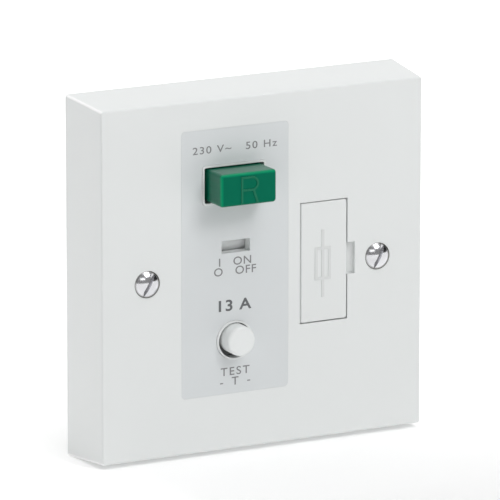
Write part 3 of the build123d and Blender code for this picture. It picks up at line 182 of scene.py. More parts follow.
# %% A material's node tree
class Finish:
    """A material with one Principled BSDF, and one method that adds any other node."""

    def __init__(self, name, roughness=0.4, metallic=0.0, coat=0.0, specular=0.5):
        self.material = bpy.data.materials.new(name)
        self.material.use_nodes = True
        self.nodes = self.material.node_tree.nodes
        self.links = self.material.node_tree.links
        self.shader = self.nodes["Principled BSDF"]
        for socket, value in (("Roughness", roughness), ("Metallic", metallic), ("Coat Weight", coat),
                              ("Specular IOR Level", specular)):
            self.shader.inputs[socket].default_value = value

    def node(self, kind, settings=None, sockets=None, output=0):
        made = self.nodes.new(kind)
        for key, value in (settings or {}).items():
            setattr(made, key, value)
        for key, value in (sockets or {}).items():
            self.feed(made.inputs[key], value)
        return Signal(self, made.outputs[output])

    def feed(self, socket, value):
        if isinstance(value, Signal):
            self.links.new(value.socket, socket)
        elif isinstance(value, tuple) and socket.type == "RGBA":
            socket.default_value = (*value[:3], 1.0)
        else:
            socket.default_value = value

    def place(self):
        """Where a point is in the object's own frame, which rides with its body."""
        return self.node("ShaderNodeTexCoord", output="Object")

    def axis(self, name):
        """One coordinate of the point, in millimetres."""
        split = self.node("ShaderNodeSeparateXYZ", sockets={"Vector": self.place()}, output=name)
        return split * (1 / MM)

    def facing(self, name):
        """How far the surface faces along one axis, from -1 to 1."""
        normal = self.node("ShaderNodeTexCoord", output="Normal")
        return self.node("ShaderNodeSeparateXYZ", sockets={"Vector": normal}, output=name)

    def noise(self, per_mm, detail=2.0, stretch=None):
        """Noise from 0 to 1, with so many features to the millimetre."""
        vector = self.place()
        if stretch is not None:
            vector = self.node("ShaderNodeVectorMath", {"operation": "MULTIPLY"}, {0: vector, 1: stretch})
        return self.node("ShaderNodeTexNoise",
                         sockets={"Vector": vector, "Scale": per_mm / MM, "Detail": detail})

    def mix(self, factor, first, second):
        """A colour between first and second."""
        return self.node("ShaderNodeMix", {"data_type": "RGBA"},
                         {"Factor": factor, 6: first, 7: second}, output=2)

    def bump(self, height, depth_mm):
        """Raises the surface by up to a depth where height is 1."""
        made = self.node("ShaderNodeBump",
                         sockets={"Height": height, "Distance": depth_mm * MM, "Strength": 1.0})
        self.feed(self.shader.inputs["Normal"], made)

    def colour(self, value):
        self.feed(self.shader.inputs["Base Color"], value)

    def roughness(self, value):
        self.feed(self.shader.inputs["Roughness"], value)


# %% [markdown]
# ## Moulded plastics
# The plate and the fuse door are hard glossy white, moulded in a polished tool that
# has gone slightly uneven with use. The colour hardly varies, so what makes
# them look real is a very low, slow wave in the surface and roughness that drifts a
# little. The plate's long edges carry a painted highlight, a brighter white under a
# clear coat, and the door's raised symbol has gone grey. Round the lip of the test
# button, behind the plate, the white is painted dark as shade in the gap. The rear
# mouldings come from a spark-eroded tool and show a fine grain.


# %% Moulded plastic
def shade(colour, amount):
    """The same colour, lighter or darker."""
    return tuple(min(1.0, max(0.0, part * amount)) for part in colour)


def clouded(finish, colour):
    """A colour that drifts very slightly from place to place."""
    return finish.mix(finish.noise(0.05, detail=3.0), shade(colour, 0.985), shade(colour, 1.012))


def moulded(name, colour, roughness, grain_per_mm=3.0, grain_mm=0.004, edge=None):
    """A moulding. Where edge is a colour, the rounded long edges take it as a painted highlight, under a clear
    coat.
    """
    finish = Finish(name, roughness=roughness)
    plain = clouded(finish, colour)
    if edge is not None:
        # Painted highlight: the rounded long edges, between side and top, take the edge colour.
        painted_edge_highlight = (finish.facing("X").size() * finish.facing("Z").size()).smooth(0.06, 0.30)
        plain = finish.mix(painted_edge_highlight, plain, edge)
        finish.feed(finish.shader.inputs["Coat Weight"], painted_edge_highlight)
        finish.shader.inputs["Coat Roughness"].default_value = 0.2
    finish.colour(plain)
    finish.roughness(roughness + (finish.noise(0.3) - 0.5) * 0.12)
    finish.bump(finish.noise(grain_per_mm), grain_mm)
    return finish.material


plate_colour = (0.80, 0.82, 0.815)
# The plate's pure white edge colour is a painted highlight on its long edges.
plate_white = moulded("plate_white", plate_colour, 0.34, grain_per_mm=1.2, grain_mm=0.002,
                      edge=(1.0, 1.0, 1.0))


def door_white(colour):
    """The door's white, a little greyer on the raised symbol, which dirt and fingers reach first."""
    finish = Finish("carrier_white", roughness=0.36)
    raised = finish.axis("Y") < face_y - 0.03
    finish.colour(finish.mix(raised, clouded(finish, colour), shade(colour, 0.90)))
    finish.roughness(0.36 + (finish.noise(0.3) - 0.5) * 0.12 + raised * 0.15)
    finish.bump(finish.noise(1.2), 0.002)
    return finish.material


carrier_white = door_white(shade(plate_colour, 0.995))


def test_button_white(colour):
    """The test button's white, painted dark as shade round the lip behind the plate."""
    finish = Finish("button_white", roughness=0.38)
    # Painted shade: the white darkens with depth behind the plate face, towards the gap.
    painted_gap_shade = finish.axis("Y").smooth(face_y + 0.2, face_y + 1.4)
    gap_shade_colour = finish.mix(finish.noise(2.0, detail=4.0), shade(colour, 0.22), shade(colour, 0.34))
    finish.colour(finish.mix(painted_gap_shade, clouded(finish, colour), gap_shade_colour))
    finish.roughness(0.38 + painted_gap_shade * 0.3 + (finish.noise(0.3) - 0.5) * 0.12)
    finish.bump(finish.noise(1.5), 0.002)
    return finish.material


test_white = test_button_white(shade(plate_colour, 1.05))
housing_white = moulded("housing_white", (0.70, 0.71, 0.69), 0.55, grain_per_mm=6.0, grain_mm=0.02)
frame_grey = moulded("frame_grey", (0.24, 0.26, 0.27), 0.5, grain_per_mm=6.0, grain_mm=0.02)
black_plastic = moulded("black_plastic", (0.02, 0.02, 0.022), 0.45, grain_per_mm=5.0, grain_mm=0.015)
print("moulded finishes made")

# %% [markdown]
# ## The green button
# The button is moulded in a strong green. Its sides slide on the tool as it is pushed
# out, so they are glossier than its matt face and show faint lines along the draw. The
# direction that a face points in tells them apart. The top and left edges carry a
# painted highlight in a paler green, and the raised letter is painted a little paler.


# %% Green button
def green_button():
    """Strong green: matt in front, glossy at the sides, with a painted highlight at the top and left edges."""
    colour, highlight_green = (0.0, 0.148, 0.082), (0.0, 0.27, 0.125)
    finish = Finish("button_green", roughness=0.4, specular=0.06)
    front = (0.0 - finish.facing("Y")).smooth(0.5, 0.95)
    upward = finish.facing("Z").smooth(0.5, 0.95)
    drag = finish.noise(1.6, stretch=(1.0, 0.06, 1.0))
    side = finish.mix(drag, shade(colour, 0.75), shade(colour, 1.05))
    # Painted highlight: a paler green along the top and left front edges.
    across = button_cap_low.x - finish.axis("X")
    up = finish.axis("Z") - button_cap_high.z
    green_edge_highlight = across.most(up).smooth(-0.9, -0.35) * (button_low.y + 0.9 - finish.axis("Y")).smooth(0.0, 0.5)
    raised = finish.axis("Y") < button_low.y + 0.08
    face = finish.mix(raised * 0.8, colour, (0.025, 0.185, 0.105))
    finish.colour(finish.mix(green_edge_highlight, finish.mix(front, side, face), highlight_green))
    finish.roughness(0.42 + front * 0.1 + (finish.noise(0.5) - 0.5) * 0.06)
    finish.feed(finish.shader.inputs["Coat Weight"], (1 - front) * (upward * 0.4 + 0.6))
    finish.shader.inputs["Coat Roughness"].default_value = 0.3
    finish.bump(drag, 0.004)
    return finish.material


button_green = green_button()

# %% [markdown]
# ## The flag
# The drum is moulded white, and its upper part is painted red. It shows white while
# the unit is tripped. The paint's edge is a ray from the pivot, so the mask compares
# each point's angle with that ray: a cross product of two vectors, in two terms.


# %% Flag in two colours
def two_colour_flag(axis_y, axis_z, edge_degrees):
    """White below and red above a ray that leaves the pivot at an angle."""
    finish = Finish("flag_white_red", roughness=0.5)
    edge = math.radians(edge_degrees)
    ahead = finish.axis("Y") - axis_y
    above = finish.axis("Z") - axis_z
    painted = (above * math.cos(edge) + ahead * math.sin(edge)).smooth(-0.03, 0.03)
    cloud = finish.noise(0.4)
    white = finish.mix(cloud, (0.92, 0.94, 0.94), (0.95, 0.97, 0.97))
    red = finish.mix(cloud, (0.55, 0.012, 0.012), (0.62, 0.02, 0.016))
    finish.colour(finish.mix(painted, white, red))
    finish.bump(finish.noise(4.0), 0.006)
    return finish.material


flag_joint = next(joint for joint in frame["joints"] if joint["name"] == "flag_turn")
flag_y, flag_z = flag_joint["pos_m"][1] / MM, flag_joint["pos_m"][2] / MM
flag_paint = two_colour_flag(flag_y, flag_z, edge_degrees=27.0)
print("flag turns about y, z", round(flag_y, 2), round(flag_z, 2))

# %% [markdown]
# ## The printed label
# The label is a thin polycarbonate film printed pale grey on its back. It is a touch
# darker and bluer than the plate, with a fine matt grain that spreads reflections.


# %% Label film and its ink
def label_film():
    finish = Finish("label_grey", roughness=0.5)
    cloud = finish.noise(0.08, detail=3.0)
    finish.colour(finish.mix(cloud, (0.69, 0.717, 0.725), (0.71, 0.735, 0.745)))
    finish.roughness(0.5 + (finish.noise(0.6) - 0.5) * 0.08)
    finish.bump(finish.noise(7.0), 0.006)
    return finish.material


def ink(name, colour):
    finish = Finish(name, roughness=0.55)
    finish.colour(finish.mix(finish.noise(6.0, detail=3.0), shade(colour, 0.88), shade(colour, 1.12)))
    finish.bump(finish.noise(12.0), 0.002)
    return finish.material


label_grey = label_film()
ink_grey = ink("ink_grey", (0.235, 0.235, 0.24))
ink_dark = ink("ink_dark", (0.13, 0.135, 0.14))

# %% [markdown]
# ## Metals
# The two fixing screws are bright nickel plate over a turned head, so they mirror the
# studio, and a dark reflection is painted round each rim. The steel, brass and copper
# pieces behind them are duller: springs, strip and turned pieces show fine lines, and
# zinc plate is cloudy.


# %% Metals
def metal(name, colour, roughness, stretch=None, per_mm=2.5, depth=0.004, tarnish=0.12):
    finish = Finish(name, roughness=roughness, metallic=1.0)
    lines = finish.noise(per_mm, detail=3.0, stretch=stretch)
    patches = finish.noise(0.25, detail=4.0)
    finish.colour(finish.mix(patches, shade(colour, 1 - tarnish), shade(colour, 1 + tarnish / 2)))
    finish.roughness(roughness + (lines - 0.5) * 0.12)
    finish.bump(lines, depth)
    return finish.material


def bright_screw(centre_x, head_r):
    """Bright plate on both fixing screws, with a dark reflection painted round the rim, most on the side away from
    the key.
    """
    finish = Finish("screw_bright", metallic=1.0)
    # Painted reflection: the rim of each head is coloured dark, round a middle shifted a little left and up.
    shift_out, shift_up = 0.22, 0.12
    side = finish.axis("X")
    out = side + (centre_x + shift_out) - (side > 0.0) * (2 * centre_x)
    up = finish.axis("Z") - shift_up
    painted_dark_rim = (out * out + up * up).root().smooth(head_r * 0.80, head_r * 0.98)
    patches = finish.noise(0.4, detail=3.0)
    plate = finish.mix(patches, (0.74, 0.745, 0.77), (0.80, 0.80, 0.82))
    finish.colour(finish.mix(painted_dark_rim, plate, (0.20, 0.20, 0.19)))
    finish.roughness(0.16 + painted_dark_rim * 0.2 + (patches - 0.5) * 0.05)
    finish.bump(finish.noise(1.5), 0.002)
    return finish.material


screw_low, screw_high = mm_box("fixing_screws")
screw_bright = bright_screw((screw_high.x - screw_low.x) / 2 - screw_high.z, screw_high.z)
spring_steel = metal("spring_steel", (0.48, 0.48, 0.49), 0.3, stretch=(1, 0.1, 1))
plain_steel = metal("steel", (0.50, 0.50, 0.51), 0.34, per_mm=3.0)
zinc_steel = metal("zinc_steel", (0.62, 0.64, 0.68), 0.3, per_mm=1.2)
brass = metal("brass", (0.68, 0.47, 0.17), 0.28, stretch=(1, 1, 0.15))
copper = metal("copper", (0.72, 0.33, 0.18), 0.3, stretch=(0.15, 1, 1))
silver = metal("silver_contact", (0.80, 0.80, 0.78), 0.25, per_mm=4.0)
fuse_cap_plate = metal("fuse_cap", (0.74, 0.73, 0.68), 0.22, stretch=(1, 1, 0.1))
enamelled_wire = metal("enamelled_wire", (0.52, 0.17, 0.06), 0.25, per_mm=4.0, tarnish=0.2)

# %% [markdown]
# ## Electrical pieces
# The board is green resist over glass cloth, whose weave shows as a faint grid. The
# dipped parts are lumpy and glossy, ceramic is matt, and the resistors carry plain
# coloured rings.


# %% Board, ceramics and sleeves
def circuit_green():
    """Green resist over glass cloth, whose threads lie a little over half a millimetre apart."""
    finish = Finish("board_green", roughness=0.32)
    thread = 0.55
    across = (finish.axis("X") * (2 * math.pi / thread)).sine()
    up = (finish.axis("Z") * (2 * math.pi / thread)).sine()
    weave = across * up * 0.5 + 0.5
    cloud = finish.noise(0.12, detail=3.0)
    finish.colour(finish.mix(weave * 0.4 + cloud * 0.5, (0.008, 0.085, 0.035), (0.02, 0.15, 0.065)))
    finish.bump(weave, 0.01)
    return finish.material


def dipped(name, colour, roughness, lump_mm=0.03):
    finish = Finish(name, roughness=roughness, coat=0.2)
    lumps = finish.noise(0.5, detail=2.0)
    finish.colour(finish.mix(lumps, shade(colour, 0.85), shade(colour, 1.1)))
    finish.bump(lumps, lump_mm)
    return finish.material


def ringed_resistor():
    """Tan bodies with a few plain rings across their length, and bare wire ends."""
    finish = Finish("resistor_tan", roughness=0.38, coat=0.3)
    along = finish.axis("Z").wrap(1.55)
    ring = along.smooth(0.9, 0.95) * (1 - along.smooth(1.3, 1.35))
    body = finish.mix(finish.noise(0.8), (0.46, 0.33, 0.19), (0.54, 0.40, 0.24))
    finish.colour(finish.mix(ring, body, (0.12, 0.05, 0.03)))
    finish.bump(finish.noise(1.0), 0.02)
    return finish.material


board_green = circuit_green()
core_grey = dipped("core_grey", (0.05, 0.05, 0.055), 0.6)
disc_blue = dipped("disc_blue", (0.02, 0.07, 0.24), 0.3, lump_mm=0.05)
can_sleeve = dipped("can_sleeve", (0.012, 0.02, 0.07), 0.25, lump_mm=0.01)
resistor_tan = ringed_resistor()
fuse_ceramic = moulded("fuse_ceramic", (0.76, 0.73, 0.64), 0.62, grain_per_mm=5.0, grain_mm=0.015)
lead_brown = moulded("lead_brown", (0.11, 0.035, 0.012), 0.42, grain_per_mm=3.0, grain_mm=0.006)
lead_blue = moulded("lead_blue", (0.01, 0.06, 0.30), 0.42, grain_per_mm=3.0, grain_mm=0.006)

# %% [markdown]
# ## Give every solid its finish
# The record says which material slot each solid takes, so the finishes are given out
# by slot. A solid's shape is left exactly as it came.

# %% Hand out the finishes
finish_of_slot = {
    "plate_white": plate_white, "label_grey": label_grey, "screw_bright": screw_bright,
    "button_green": button_green, "button_white": test_white, "carrier_white": carrier_white,
    "flag_white_red": flag_paint, "frame_grey": frame_grey, "housing_white": housing_white,
    "black_plastic": black_plastic, "spring_steel": spring_steel, "steel": plain_steel,
    "zinc_steel": zinc_steel, "brass": brass, "copper": copper, "silver_contact": silver,
    "board_green": board_green, "enamelled_wire": enamelled_wire, "core_grey": core_grey,
    "disc_blue": disc_blue, "resistor_tan": resistor_tan, "can_sleeve": can_sleeve,
    "lead_brown": lead_brown, "lead_blue": lead_blue, "fuse_ceramic": fuse_ceramic,
    "fuse_cap": fuse_cap_plate,
}
for entry in frame["record"]["subparts"]:
    solid = frame["nodes"][entry["node"]]
    solid.data.materials.clear()
    solid.data.materials.append(finish_of_slot[entry["material_slot"]])

# %% [markdown]
# ## From a curve to a piece
# Letters, springs, windings and leads all begin as curves. Each is turned once into a
# mesh, which keeps its place when the unit is exported, and takes one finish.


# %% Turn a curve into a piece
def mesh_from(curve):
    """The mesh that a curve or a text shows."""
    holder = bpy.data.objects.new(curve.name, curve)
    bpy.context.scene.collection.objects.link(holder)
    bpy.context.view_layer.update()
    seen = holder.evaluated_get(bpy.context.evaluated_depsgraph_get())
    mesh = bpy.data.meshes.new_from_object(seen)
    bpy.data.objects.remove(holder)
    return mesh


def add_piece(name, mesh, material):
    """Puts a mesh of one finish into the scene."""
    mesh.materials.clear()
    mesh.materials.append(material)
    piece = bpy.data.objects.new(name, mesh)
    bpy.context.scene.collection.objects.link(piece)
    return piece


def tube_piece(curve_name, name, kind, points, radius, roundness, material):
    """A closed tube in the housing, led along points by a spline of one kind."""
    curve = bpy.data.curves.new(curve_name, "CURVE")
    curve.dimensions = "3D"
    curve.bevel_depth = radius * MM
    curve.bevel_resolution = roundness
    curve.use_fill_caps = True
    line = curve.splines.new(kind)
    line.points.add(len(points) - 1)
    for point, place in zip(line.points, points):
        point.co = (place[0] * MM, place[1] * MM, place[2] * MM, 1.0)
    if kind == "NURBS":
        line.order_u = 3
        line.use_endpoint_u = True
        line.resolution_u = 10
    mesh = mesh_from(curve)
    for face in mesh.polygons:
        face.use_smooth = True
    piece = add_piece(name, mesh, material)
    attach(piece, "housing")
    return piece


# %% [markdown]
# ## Lettering
# The label and the button places hold only plain numbers and switch words. Each line
# is a text object turned to a thin mesh, scaled to the height of its capitals, and set
# on the film's face as a layer of ink a fiftieth of a millimetre thick. The rating is
# bolder, so its outline is pushed out before it becomes a mesh.


# %% Turn a text object into a thin layer of ink
def text_mesh(words, name, spacing, weight):
    """Flat letters a little over one unit high, as a mesh one unit thick."""
    curve = bpy.data.curves.new(name + "_curve", "FONT")
    curve.body = words
    curve.space_character = spacing
    curve.offset = weight
    curve.extrude = 0.5
    mesh = mesh_from(curve)
    mesh.name = name
    return mesh


def stand_letters(mesh, middle, base, cap, widen, y, thickness, facing):
    """Scales letters to a capital's height in millimetres and stands them on a base line, facing out."""
    xs = [vertex.co.x for vertex in mesh.vertices]
    scale = cap / max(vertex.co.y for vertex in mesh.vertices)
    centre = (min(xs) + max(xs)) / 2
    for vertex in mesh.vertices:
        across = middle - facing * (vertex.co.x - centre) * scale * widen
        depth = y + facing * (vertex.co.z + 0.5) * thickness
        vertex.co = Vector((across, depth, base + vertex.co.y * scale)) * MM
    return (max(xs) - min(xs)) * scale * widen


def printed(words, name, middle, base, cap, material, weight, widen=1.1, spacing=1.1,
            y=face_y, thickness=0.02, facing=-1):
    """Prints words in front of a plane that faces the front, -1, or the back, 1."""
    mesh = text_mesh(words, name, spacing, weight)
    width = stand_letters(mesh, middle, base, cap, widen, y, thickness, facing)
    piece = add_piece(name, mesh, material)
    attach(piece, "housing")
    print("printed", name, round(width, 1), "mm wide")


# %% Print the label
small_cap, middle_cap, large_cap = 1.7, 1.9, 2.6
pen = 0.007
printed("230 V~   50 Hz", "print_supply", label_x, 29.3, small_cap, ink_grey, pen, widen=1.2, spacing=1.2)
printed("I   ON", "print_on", label_x, 2.15, middle_cap, ink_grey, pen)
printed("O   OFF", "print_off", label_x, -0.1, middle_cap, ink_grey, pen)
printed("13 A", "print_rating", label_x, -8.6, large_cap, ink_dark, 3 * pen, widen=1.2)
printed("TEST", "print_test", label_x, -24.1, middle_cap, ink_grey, pen, spacing=1.25)
printed("-  T  -", "print_t", label_x, -26.5, middle_cap, ink_grey, pen)

# %% [markdown]
# The rear housing carries plain raised letters beside the screwdriver holes, so that
# each cable finds its terminal. They are cut into the tool and come out in the same
# white, three tenths of a millimetre proud, and they read correctly from behind.


# %% Raise the terminal letters
housing_low, housing_high = mm_box("rear_housing")
letter_row, word_x, pole_cap, side_cap = 17.2, -6.0, 2.6, 2.0


def raise_letters(words, name, middle, row, cap):
    """Letters that stand proud of the rear housing, with their middle on a row."""
    printed(words, name, middle, row - cap / 2, cap, housing_white, 2 * pen,
            y=housing_high.y, thickness=0.3, facing=1)


for cable in frame["record"]["mounts"]:
    if cable["kind"] != "bore":
        continue
    terminal_x, hand = cable["pos_m"][0] / MM, math.copysign(1.0, cable["pos_m"][2])
    side, pole = cable["name"].split("_")[:2]
    raise_letters(pole[0].upper(), f"raised_{side}_{pole}", terminal_x, hand * letter_row, pole_cap)
    if pole == "neutral":
        raise_letters(side.upper(), "raised_" + side, word_x, hand * letter_row, side_cap)

# %% [markdown]
# ## Springs
# A coil spring is a wire led along a helix whose end turns lie flat, so that it can
# push squarely. The pitch is small over the first and last turn and even between
# them.


# %% Wind a wire along points
def wire(points, radius, name, material, sides):
    """A wire that goes straight from point to point, so close together that it looks round."""
    return tube_piece(name + "_curve", name, "POLY", points, radius, sides, material)


def helix(start, along, side, coil_r, wire_r, length, turns, steps=28):
    """Points of a spring from start, with closed end turns. along and side are unit vectors."""
    along, side = Vector(along), Vector(side)
    other = along.cross(side)
    closed = 2 * wire_r * 1.04
    free = (length - 2 * wire_r - 2 * closed) / (turns - 2)
    points = []
    for step in range(turns * steps + 1):
        turn = step / steps
        if turn < 1:
            rise = closed * turn
        elif turn > turns - 1:
            rise = length - 2 * wire_r - closed * (turns - turn)
        else:
            rise = closed + free * (turn - 1)
        angle = 2 * math.pi * turn
        ring = side * (coil_r * math.cos(angle)) + other * (coil_r * math.sin(angle))
        points.append(Vector(start) + along * (wire_r + rise) + ring)
    return points


# %% Wind the three springs
def spring_in(node, along, side, wire_r, turns):
    """Winds a spring in its solid's space."""
    low, high = mm_box(node)
    middle = (low + high) / 2
    along, side = Vector(along), Vector(side)
    length = abs((high - low).dot(along))
    coil_r = abs((high - low).dot(side)) / 2 - wire_r
    start = middle - along * (length / 2)
    points = helix(start, along, side, coil_r, wire_r, length, turns)
    piece = wire(points, wire_r, node + "_wound", spring_steel, sides=2)
    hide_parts(node)
    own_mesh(piece)
    print(node, "length", round(length, 2), "turns", turns)


inward, across = (0, 1, 0), (1, 0, 0)
spring_in("reset_spring", inward, across, 0.22, 6)
spring_in("test_spring", inward, across, 0.18, 7)
spring_in("plunger_spring", across, inward, 0.15, 7)

# %% [markdown]
# ## Windings
# The trip coil has layers of fine enamelled wire, each turn lying against the last.
# The sensing ring's wire goes round and round the core and leaves a gap where its
# ends come off. Each layer of the coil, and the whole of the ring's wire, is one long
# line of points.


# %% Wind the trip coil
def coil_layers(node, wire_r, layers, steps=20):
    """Layers of wire round a level axis, each one turn thick, in the space of the solid winding."""
    low, high = mm_box(node)
    middle = (low + high) / 2
    outer = (high.z - low.z) / 2
    turns = int((high.x - low.x) / (2 * wire_r)) - 1
    for layer in range(layers):
        radius = outer - wire_r - 2 * wire_r * layer
        points = []
        for step in range(turns * steps + 1):
            angle = 2 * math.pi * step / steps
            x = low.x + wire_r + (high.x - low.x - 2 * wire_r) * step / (turns * steps)
            points.append((x, middle.y + radius * math.cos(angle), middle.z + radius * math.sin(angle)))
        piece = wire(points, wire_r, f"coil_wire_{layer}", enamelled_wire, sides=1)
        if layer == 0:
            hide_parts(node)
    print(node, "turns", turns, "layers", layers)


coil_layers("coil_winding", 0.21, 3)


# %% Wind the sensing ring
def ring_turns(node, core, core_bore_r, wire_r, turns, gap_degrees):
    """One layer of wire led through and round the core, turn beside turn."""
    low, high = mm_box(node)
    core_low, core_high = mm_box(core)
    middle = (low + high) / 2
    outer_r = (high.x - low.x) / 2 - wire_r
    core_outer = (core_high.x - core_low.x) / 2
    inner_r = core_bore_r - (outer_r - core_outer)
    half_deep = (high.y - low.y) / 2 - wire_r
    loop = [(outer_r, -half_deep), (outer_r, half_deep), (inner_r, half_deep), (inner_r, -half_deep)]
    points = []
    for turn in range(turns):
        for corner, (radius, deep) in enumerate(loop):
            share = (turn + corner / 4) / turns
            angle = math.radians(gap_degrees / 2 + (360 - gap_degrees) * share)
            points.append((middle.x + radius * math.cos(angle), middle.y + deep,
                           middle.z + radius * math.sin(angle)))
    piece = wire(points, wire_r, "ring_wire", enamelled_wire, sides=1)
    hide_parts(node)
    print(node, "turns", turns, "inner radius", round(inner_r, 2))


ring_turns("ring_winding", "ring_core", core_bore_r=6.1, wire_r=0.2, turns=72, gap_degrees=36.0)

# %% [markdown]
# ## The test blade
# A springy strip of metal is fixed at its leg and bends when the test button's stem
# pushes its free end. Here it is built in one shape and does not bend.


# %% Bend the test blade
def strip_mesh(name, line, width, thick):
    """A flat strip that follows a line in a level plane, standing width high."""
    strip = bmesh.new()
    rows = []
    for index, point in enumerate(line):
        ahead = line[min(index + 1, len(line) - 1)] - line[max(index - 1, 0)]
        out = Vector((-ahead.y, ahead.x, 0.0)).normalized() * (thick / 2)
        up = Vector((0.0, 0.0, width / 2))
        rows.append([strip.verts.new((point + sign * out + lift * up) * MM)
                     for sign, lift in ((-1, -1), (1, -1), (1, 1), (-1, 1))])
    for first, second in zip(rows, rows[1:]):
        for side in range(4):
            after = (side + 1) % 4
            strip.faces.new((first[side], first[after], second[after], second[side]))
    strip.faces.new(rows[0][::-1])
    strip.faces.new(rows[-1])
    bmesh.ops.recalc_face_normals(strip, faces=strip.faces)
    mesh = bpy.data.meshes.new(name)
    strip.to_mesh(mesh)
    strip.free()
    return mesh


def test_blade(thick=0.4, bend=0.8, steps=30, bend_steps=6):
    """The blade as a strip: straight across, then round a bend and back along its leg."""
    low, high = mm_box("test_blade")
    middle_z = (low.z + high.z) / 2
    near, far = low.y + thick / 2, high.x - thick / 2
    line = [Vector((low.x + (far - bend - low.x) * step / steps, near, middle_z)) for step in range(steps)]
    for step in range(bend_steps + 1):
        angle = math.pi / 2 * step / bend_steps
        ahead, back = bend * math.sin(angle), bend - bend * math.cos(angle)
        line.append(Vector((far - bend + ahead, near + back, middle_z)))
    line.append(Vector((far, high.y, middle_z)))
    mesh = strip_mesh("test_blade_strip", line, high.z - low.z, thick)
    piece = add_piece("test_blade_strip", mesh, copper)
    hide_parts("test_blade")
    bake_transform(piece)


test_blade()

# %% [markdown]
# ## Leads
# Two stiff insulated leads carry the load current through the sensing ring and on to
# the load terminals. Each is a tube along a smooth spline whose control points are the
# corners of its route, so it cuts inside every corner in one easy bend.


# %% Lead the two wires
def lead_tube(node, corners, material, radius=0.9):
    """An insulated lead along a smooth spline."""
    piece = tube_piece(node + "_curve", node + "_tube", "NURBS", corners, radius, 5, material)
    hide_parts(node)
    print(node, "through", len(corners), "points")


lead_tube("load_live_lead", [(-5.5, 9.4, 3.0), (-5.5, 16.7, 3.0), (1.8, 16.7, 3.3), (14.0, 16.7, 3.9),
                             (20.0, 13.1, 11.0), (20.0, 13.1, 17.0)], lead_brown)
lead_tube("load_neutral_lead", [(-10.5, 8.6, 3.0), (-10.5, 16.7, 3.0), (-3.1, 16.7, 6.4), (5.0, 16.7, 10.1),
                                (8.0, 13.1, 13.0), (8.0, 13.1, 17.0)], lead_blue)

# %% [markdown]
# ## The studio
# The photograph shows the unit alone on pure white, lit softly from above and a
# little from the right, with a long lens from the left. The floor and the backdrop
# are one pale sheet, and the camera stands where the plate's four corners say.

# %% Floor and backdrop
floor_z = cad_box[0][2]
floor_reach, wall_foot, wall_bend, wall_height, bend_steps = 12.0, 2.2, 0.5, 5.0, 12


def pale_sheet():
    """A floor that turns up into a backdrop in one smooth curve."""
    mesh = bpy.data.meshes.new("studio_sheet")
    sheet = bmesh.new()
    profile = [(-floor_reach, 0.0), (wall_foot, 0.0)]
    for step in range(1, bend_steps + 1):
        angle = math.pi / 2 * step / bend_steps
        profile.append((wall_foot + wall_bend * math.sin(angle), wall_bend - wall_bend * math.cos(angle)))
    profile.append((wall_foot + wall_bend, wall_height))
    rows = []
    for y, z in profile:
        rows.append([sheet.verts.new((x, y, floor_z + z)) for x in (-floor_reach, floor_reach)])
    for low, high in zip(rows, rows[1:]):
        sheet.faces.new((low[0], low[1], high[1], high[0]))
    sheet.to_mesh(mesh)
    sheet.free()
    for face in mesh.polygons:
        face.use_smooth = True
    finish = Finish("studio_white", roughness=0.9, specular=0.0)
    finish.colour(finish.mix(finish.noise(0.002), (0.93, 0.93, 0.93), (0.95, 0.95, 0.95)))
    side, back = finish.axis("X"), finish.axis("Y")
    behind = back.smooth(-100.0, 60.0)
    far = (side * side + back * back).root().smooth(350.0, 1500.0)
    far_glow = finish.mix(far, (0.0, 0.0, 0.0), (1.7, 1.7, 1.7))
    finish.feed(finish.shader.inputs["Emission Color"], finish.mix(behind, far_glow, (1.0, 1.0, 1.0)))
    finish.shader.inputs["Emission Strength"].default_value = 0.36
    add_piece("studio_sheet", mesh, finish.material)


pale_sheet()

# %% [markdown]
# ## Light
# The key box stands in front, high and a little to the right, so the button's shadow
# falls down the label. Wide boxes overhead and at the left lift the top edge and the
# left side. A narrow box low in front leaves the small glint on each screw, and a small
# one behind lights the edge where the top meets the left side, whose colour is also
# painted brighter as a highlight. The sheet glows softly behind the unit and far out,
# which keeps it white in every view without throwing light on the unit's face. The
# surround is pale, with two dark strips far out at the sides, because bright metal
# needs something dark to mirror.


# %% Lights
def soft_light(name, place, size, power):
    """A rectangular light that looks at the unit's middle."""
    data = bpy.data.lights.new(name, "AREA")
    data.shape = "RECTANGLE"
    data.size, data.size_y = size
    data.energy = power
    lamp = bpy.data.objects.new(name, data)
    lamp.location = place
    lamp.rotation_euler = (Vector() - Vector(place)).to_track_quat("-Z", "Y").to_euler()
    bpy.context.scene.collection.objects.link(lamp)


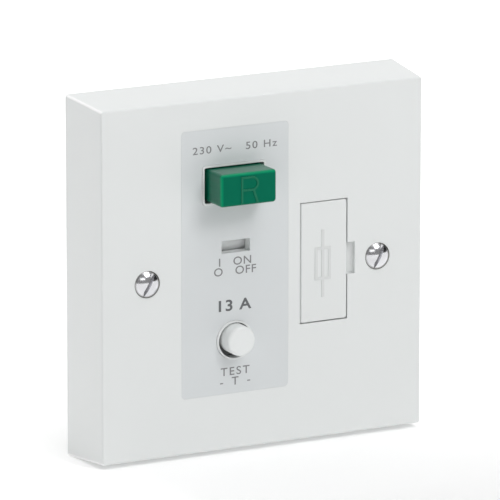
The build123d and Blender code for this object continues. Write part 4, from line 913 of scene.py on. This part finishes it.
def surround(strength, strip):
    """A pale world, with a dark strip at each side above the floor."""
    world = bpy.data.worlds.new("surround")
    world.use_nodes = True
    shell = Finish.__new__(Finish)
    shell.nodes, shell.links = world.node_tree.nodes, world.node_tree.links
    toward = shell.node("ShaderNodeTexCoord", output="Generated")
    side = shell.node("ShaderNodeSeparateXYZ", sockets={"Vector": toward}, output="X")
    right = side.smooth(0.74, 0.82)
    left = (0.0 - side).smooth(0.70, 0.76) * (1 - (0.0 - side).smooth(0.86, 0.92))
    shell.feed(shell.nodes["Background"].inputs["Strength"], strength - (right + left) * (strength - strip))
    shell.nodes["Background"].inputs["Color"].default_value = (1.0, 1.0, 1.0, 1.0)
    bpy.context.scene.world = world


soft_light("top_box", (0.0, 0.10, 1.5), (1.4, 1.2), 7.2)
soft_light("high_box", (0.10, -0.60, 1.20), (0.6, 0.5), 2.9)
soft_light("key_box", (0.42, -0.95, 0.90), (0.5, 0.4), 5.2)
soft_light("left_box", (-1.40, -0.35, 0.35), (0.8, 0.8), 0.75)
soft_light("glint_box", (-0.23, -1.17, 0.51), (0.6, 0.25), 0.6)
soft_light("back_box", (-0.36, 1.30, 0.70), (0.30, 0.14), 2.4)
surround(0.26, 0.015)
bpy.context.scene.view_settings.view_transform = "Standard"

# %% [markdown]
# ## Camera
# The plate is a known 86 mm square, and its corners in the picture fix the camera:
# 27.6 degrees to the left, 13.6 degrees up and 1.51 m away, with a lens of 468 mm on
# a 36 mm sensor. The plate's middle sits a little right of and below the picture's.


# %% Camera
def photo_camera(azimuth, elevation, distance, lens, right_mm, up_mm):
    """Stands the camera where the plate's corners say, shifted so that they also fall in the right place."""
    turn, lift = math.radians(azimuth), math.radians(elevation)
    ahead = Vector((math.sin(turn) * math.cos(lift), math.cos(turn) * math.cos(lift), -math.sin(lift)))
    right = Vector((math.cos(turn), -math.sin(turn), 0.0))
    up = right.cross(ahead)
    centre = Vector((0.0, face_y * MM, 0.0))
    data = bpy.data.cameras.new("photo_camera")
    data.lens = lens
    data.sensor_width = 36.0
    data.clip_end = 20.0
    camera = bpy.data.objects.new("photo_camera", data)
    camera.location = centre - ahead * distance - right * right_mm * MM - up * up_mm * MM
    turned = ahead.to_track_quat("-Z", "Y").to_matrix().to_4x4()
    camera.matrix_world = Matrix.Translation(camera.location) @ turned
    bpy.context.scene.collection.objects.link(camera)
    bpy.context.scene.camera = camera


photo_camera(27.61, 13.6, 1.510, 468.4, 3.1, -4.7)
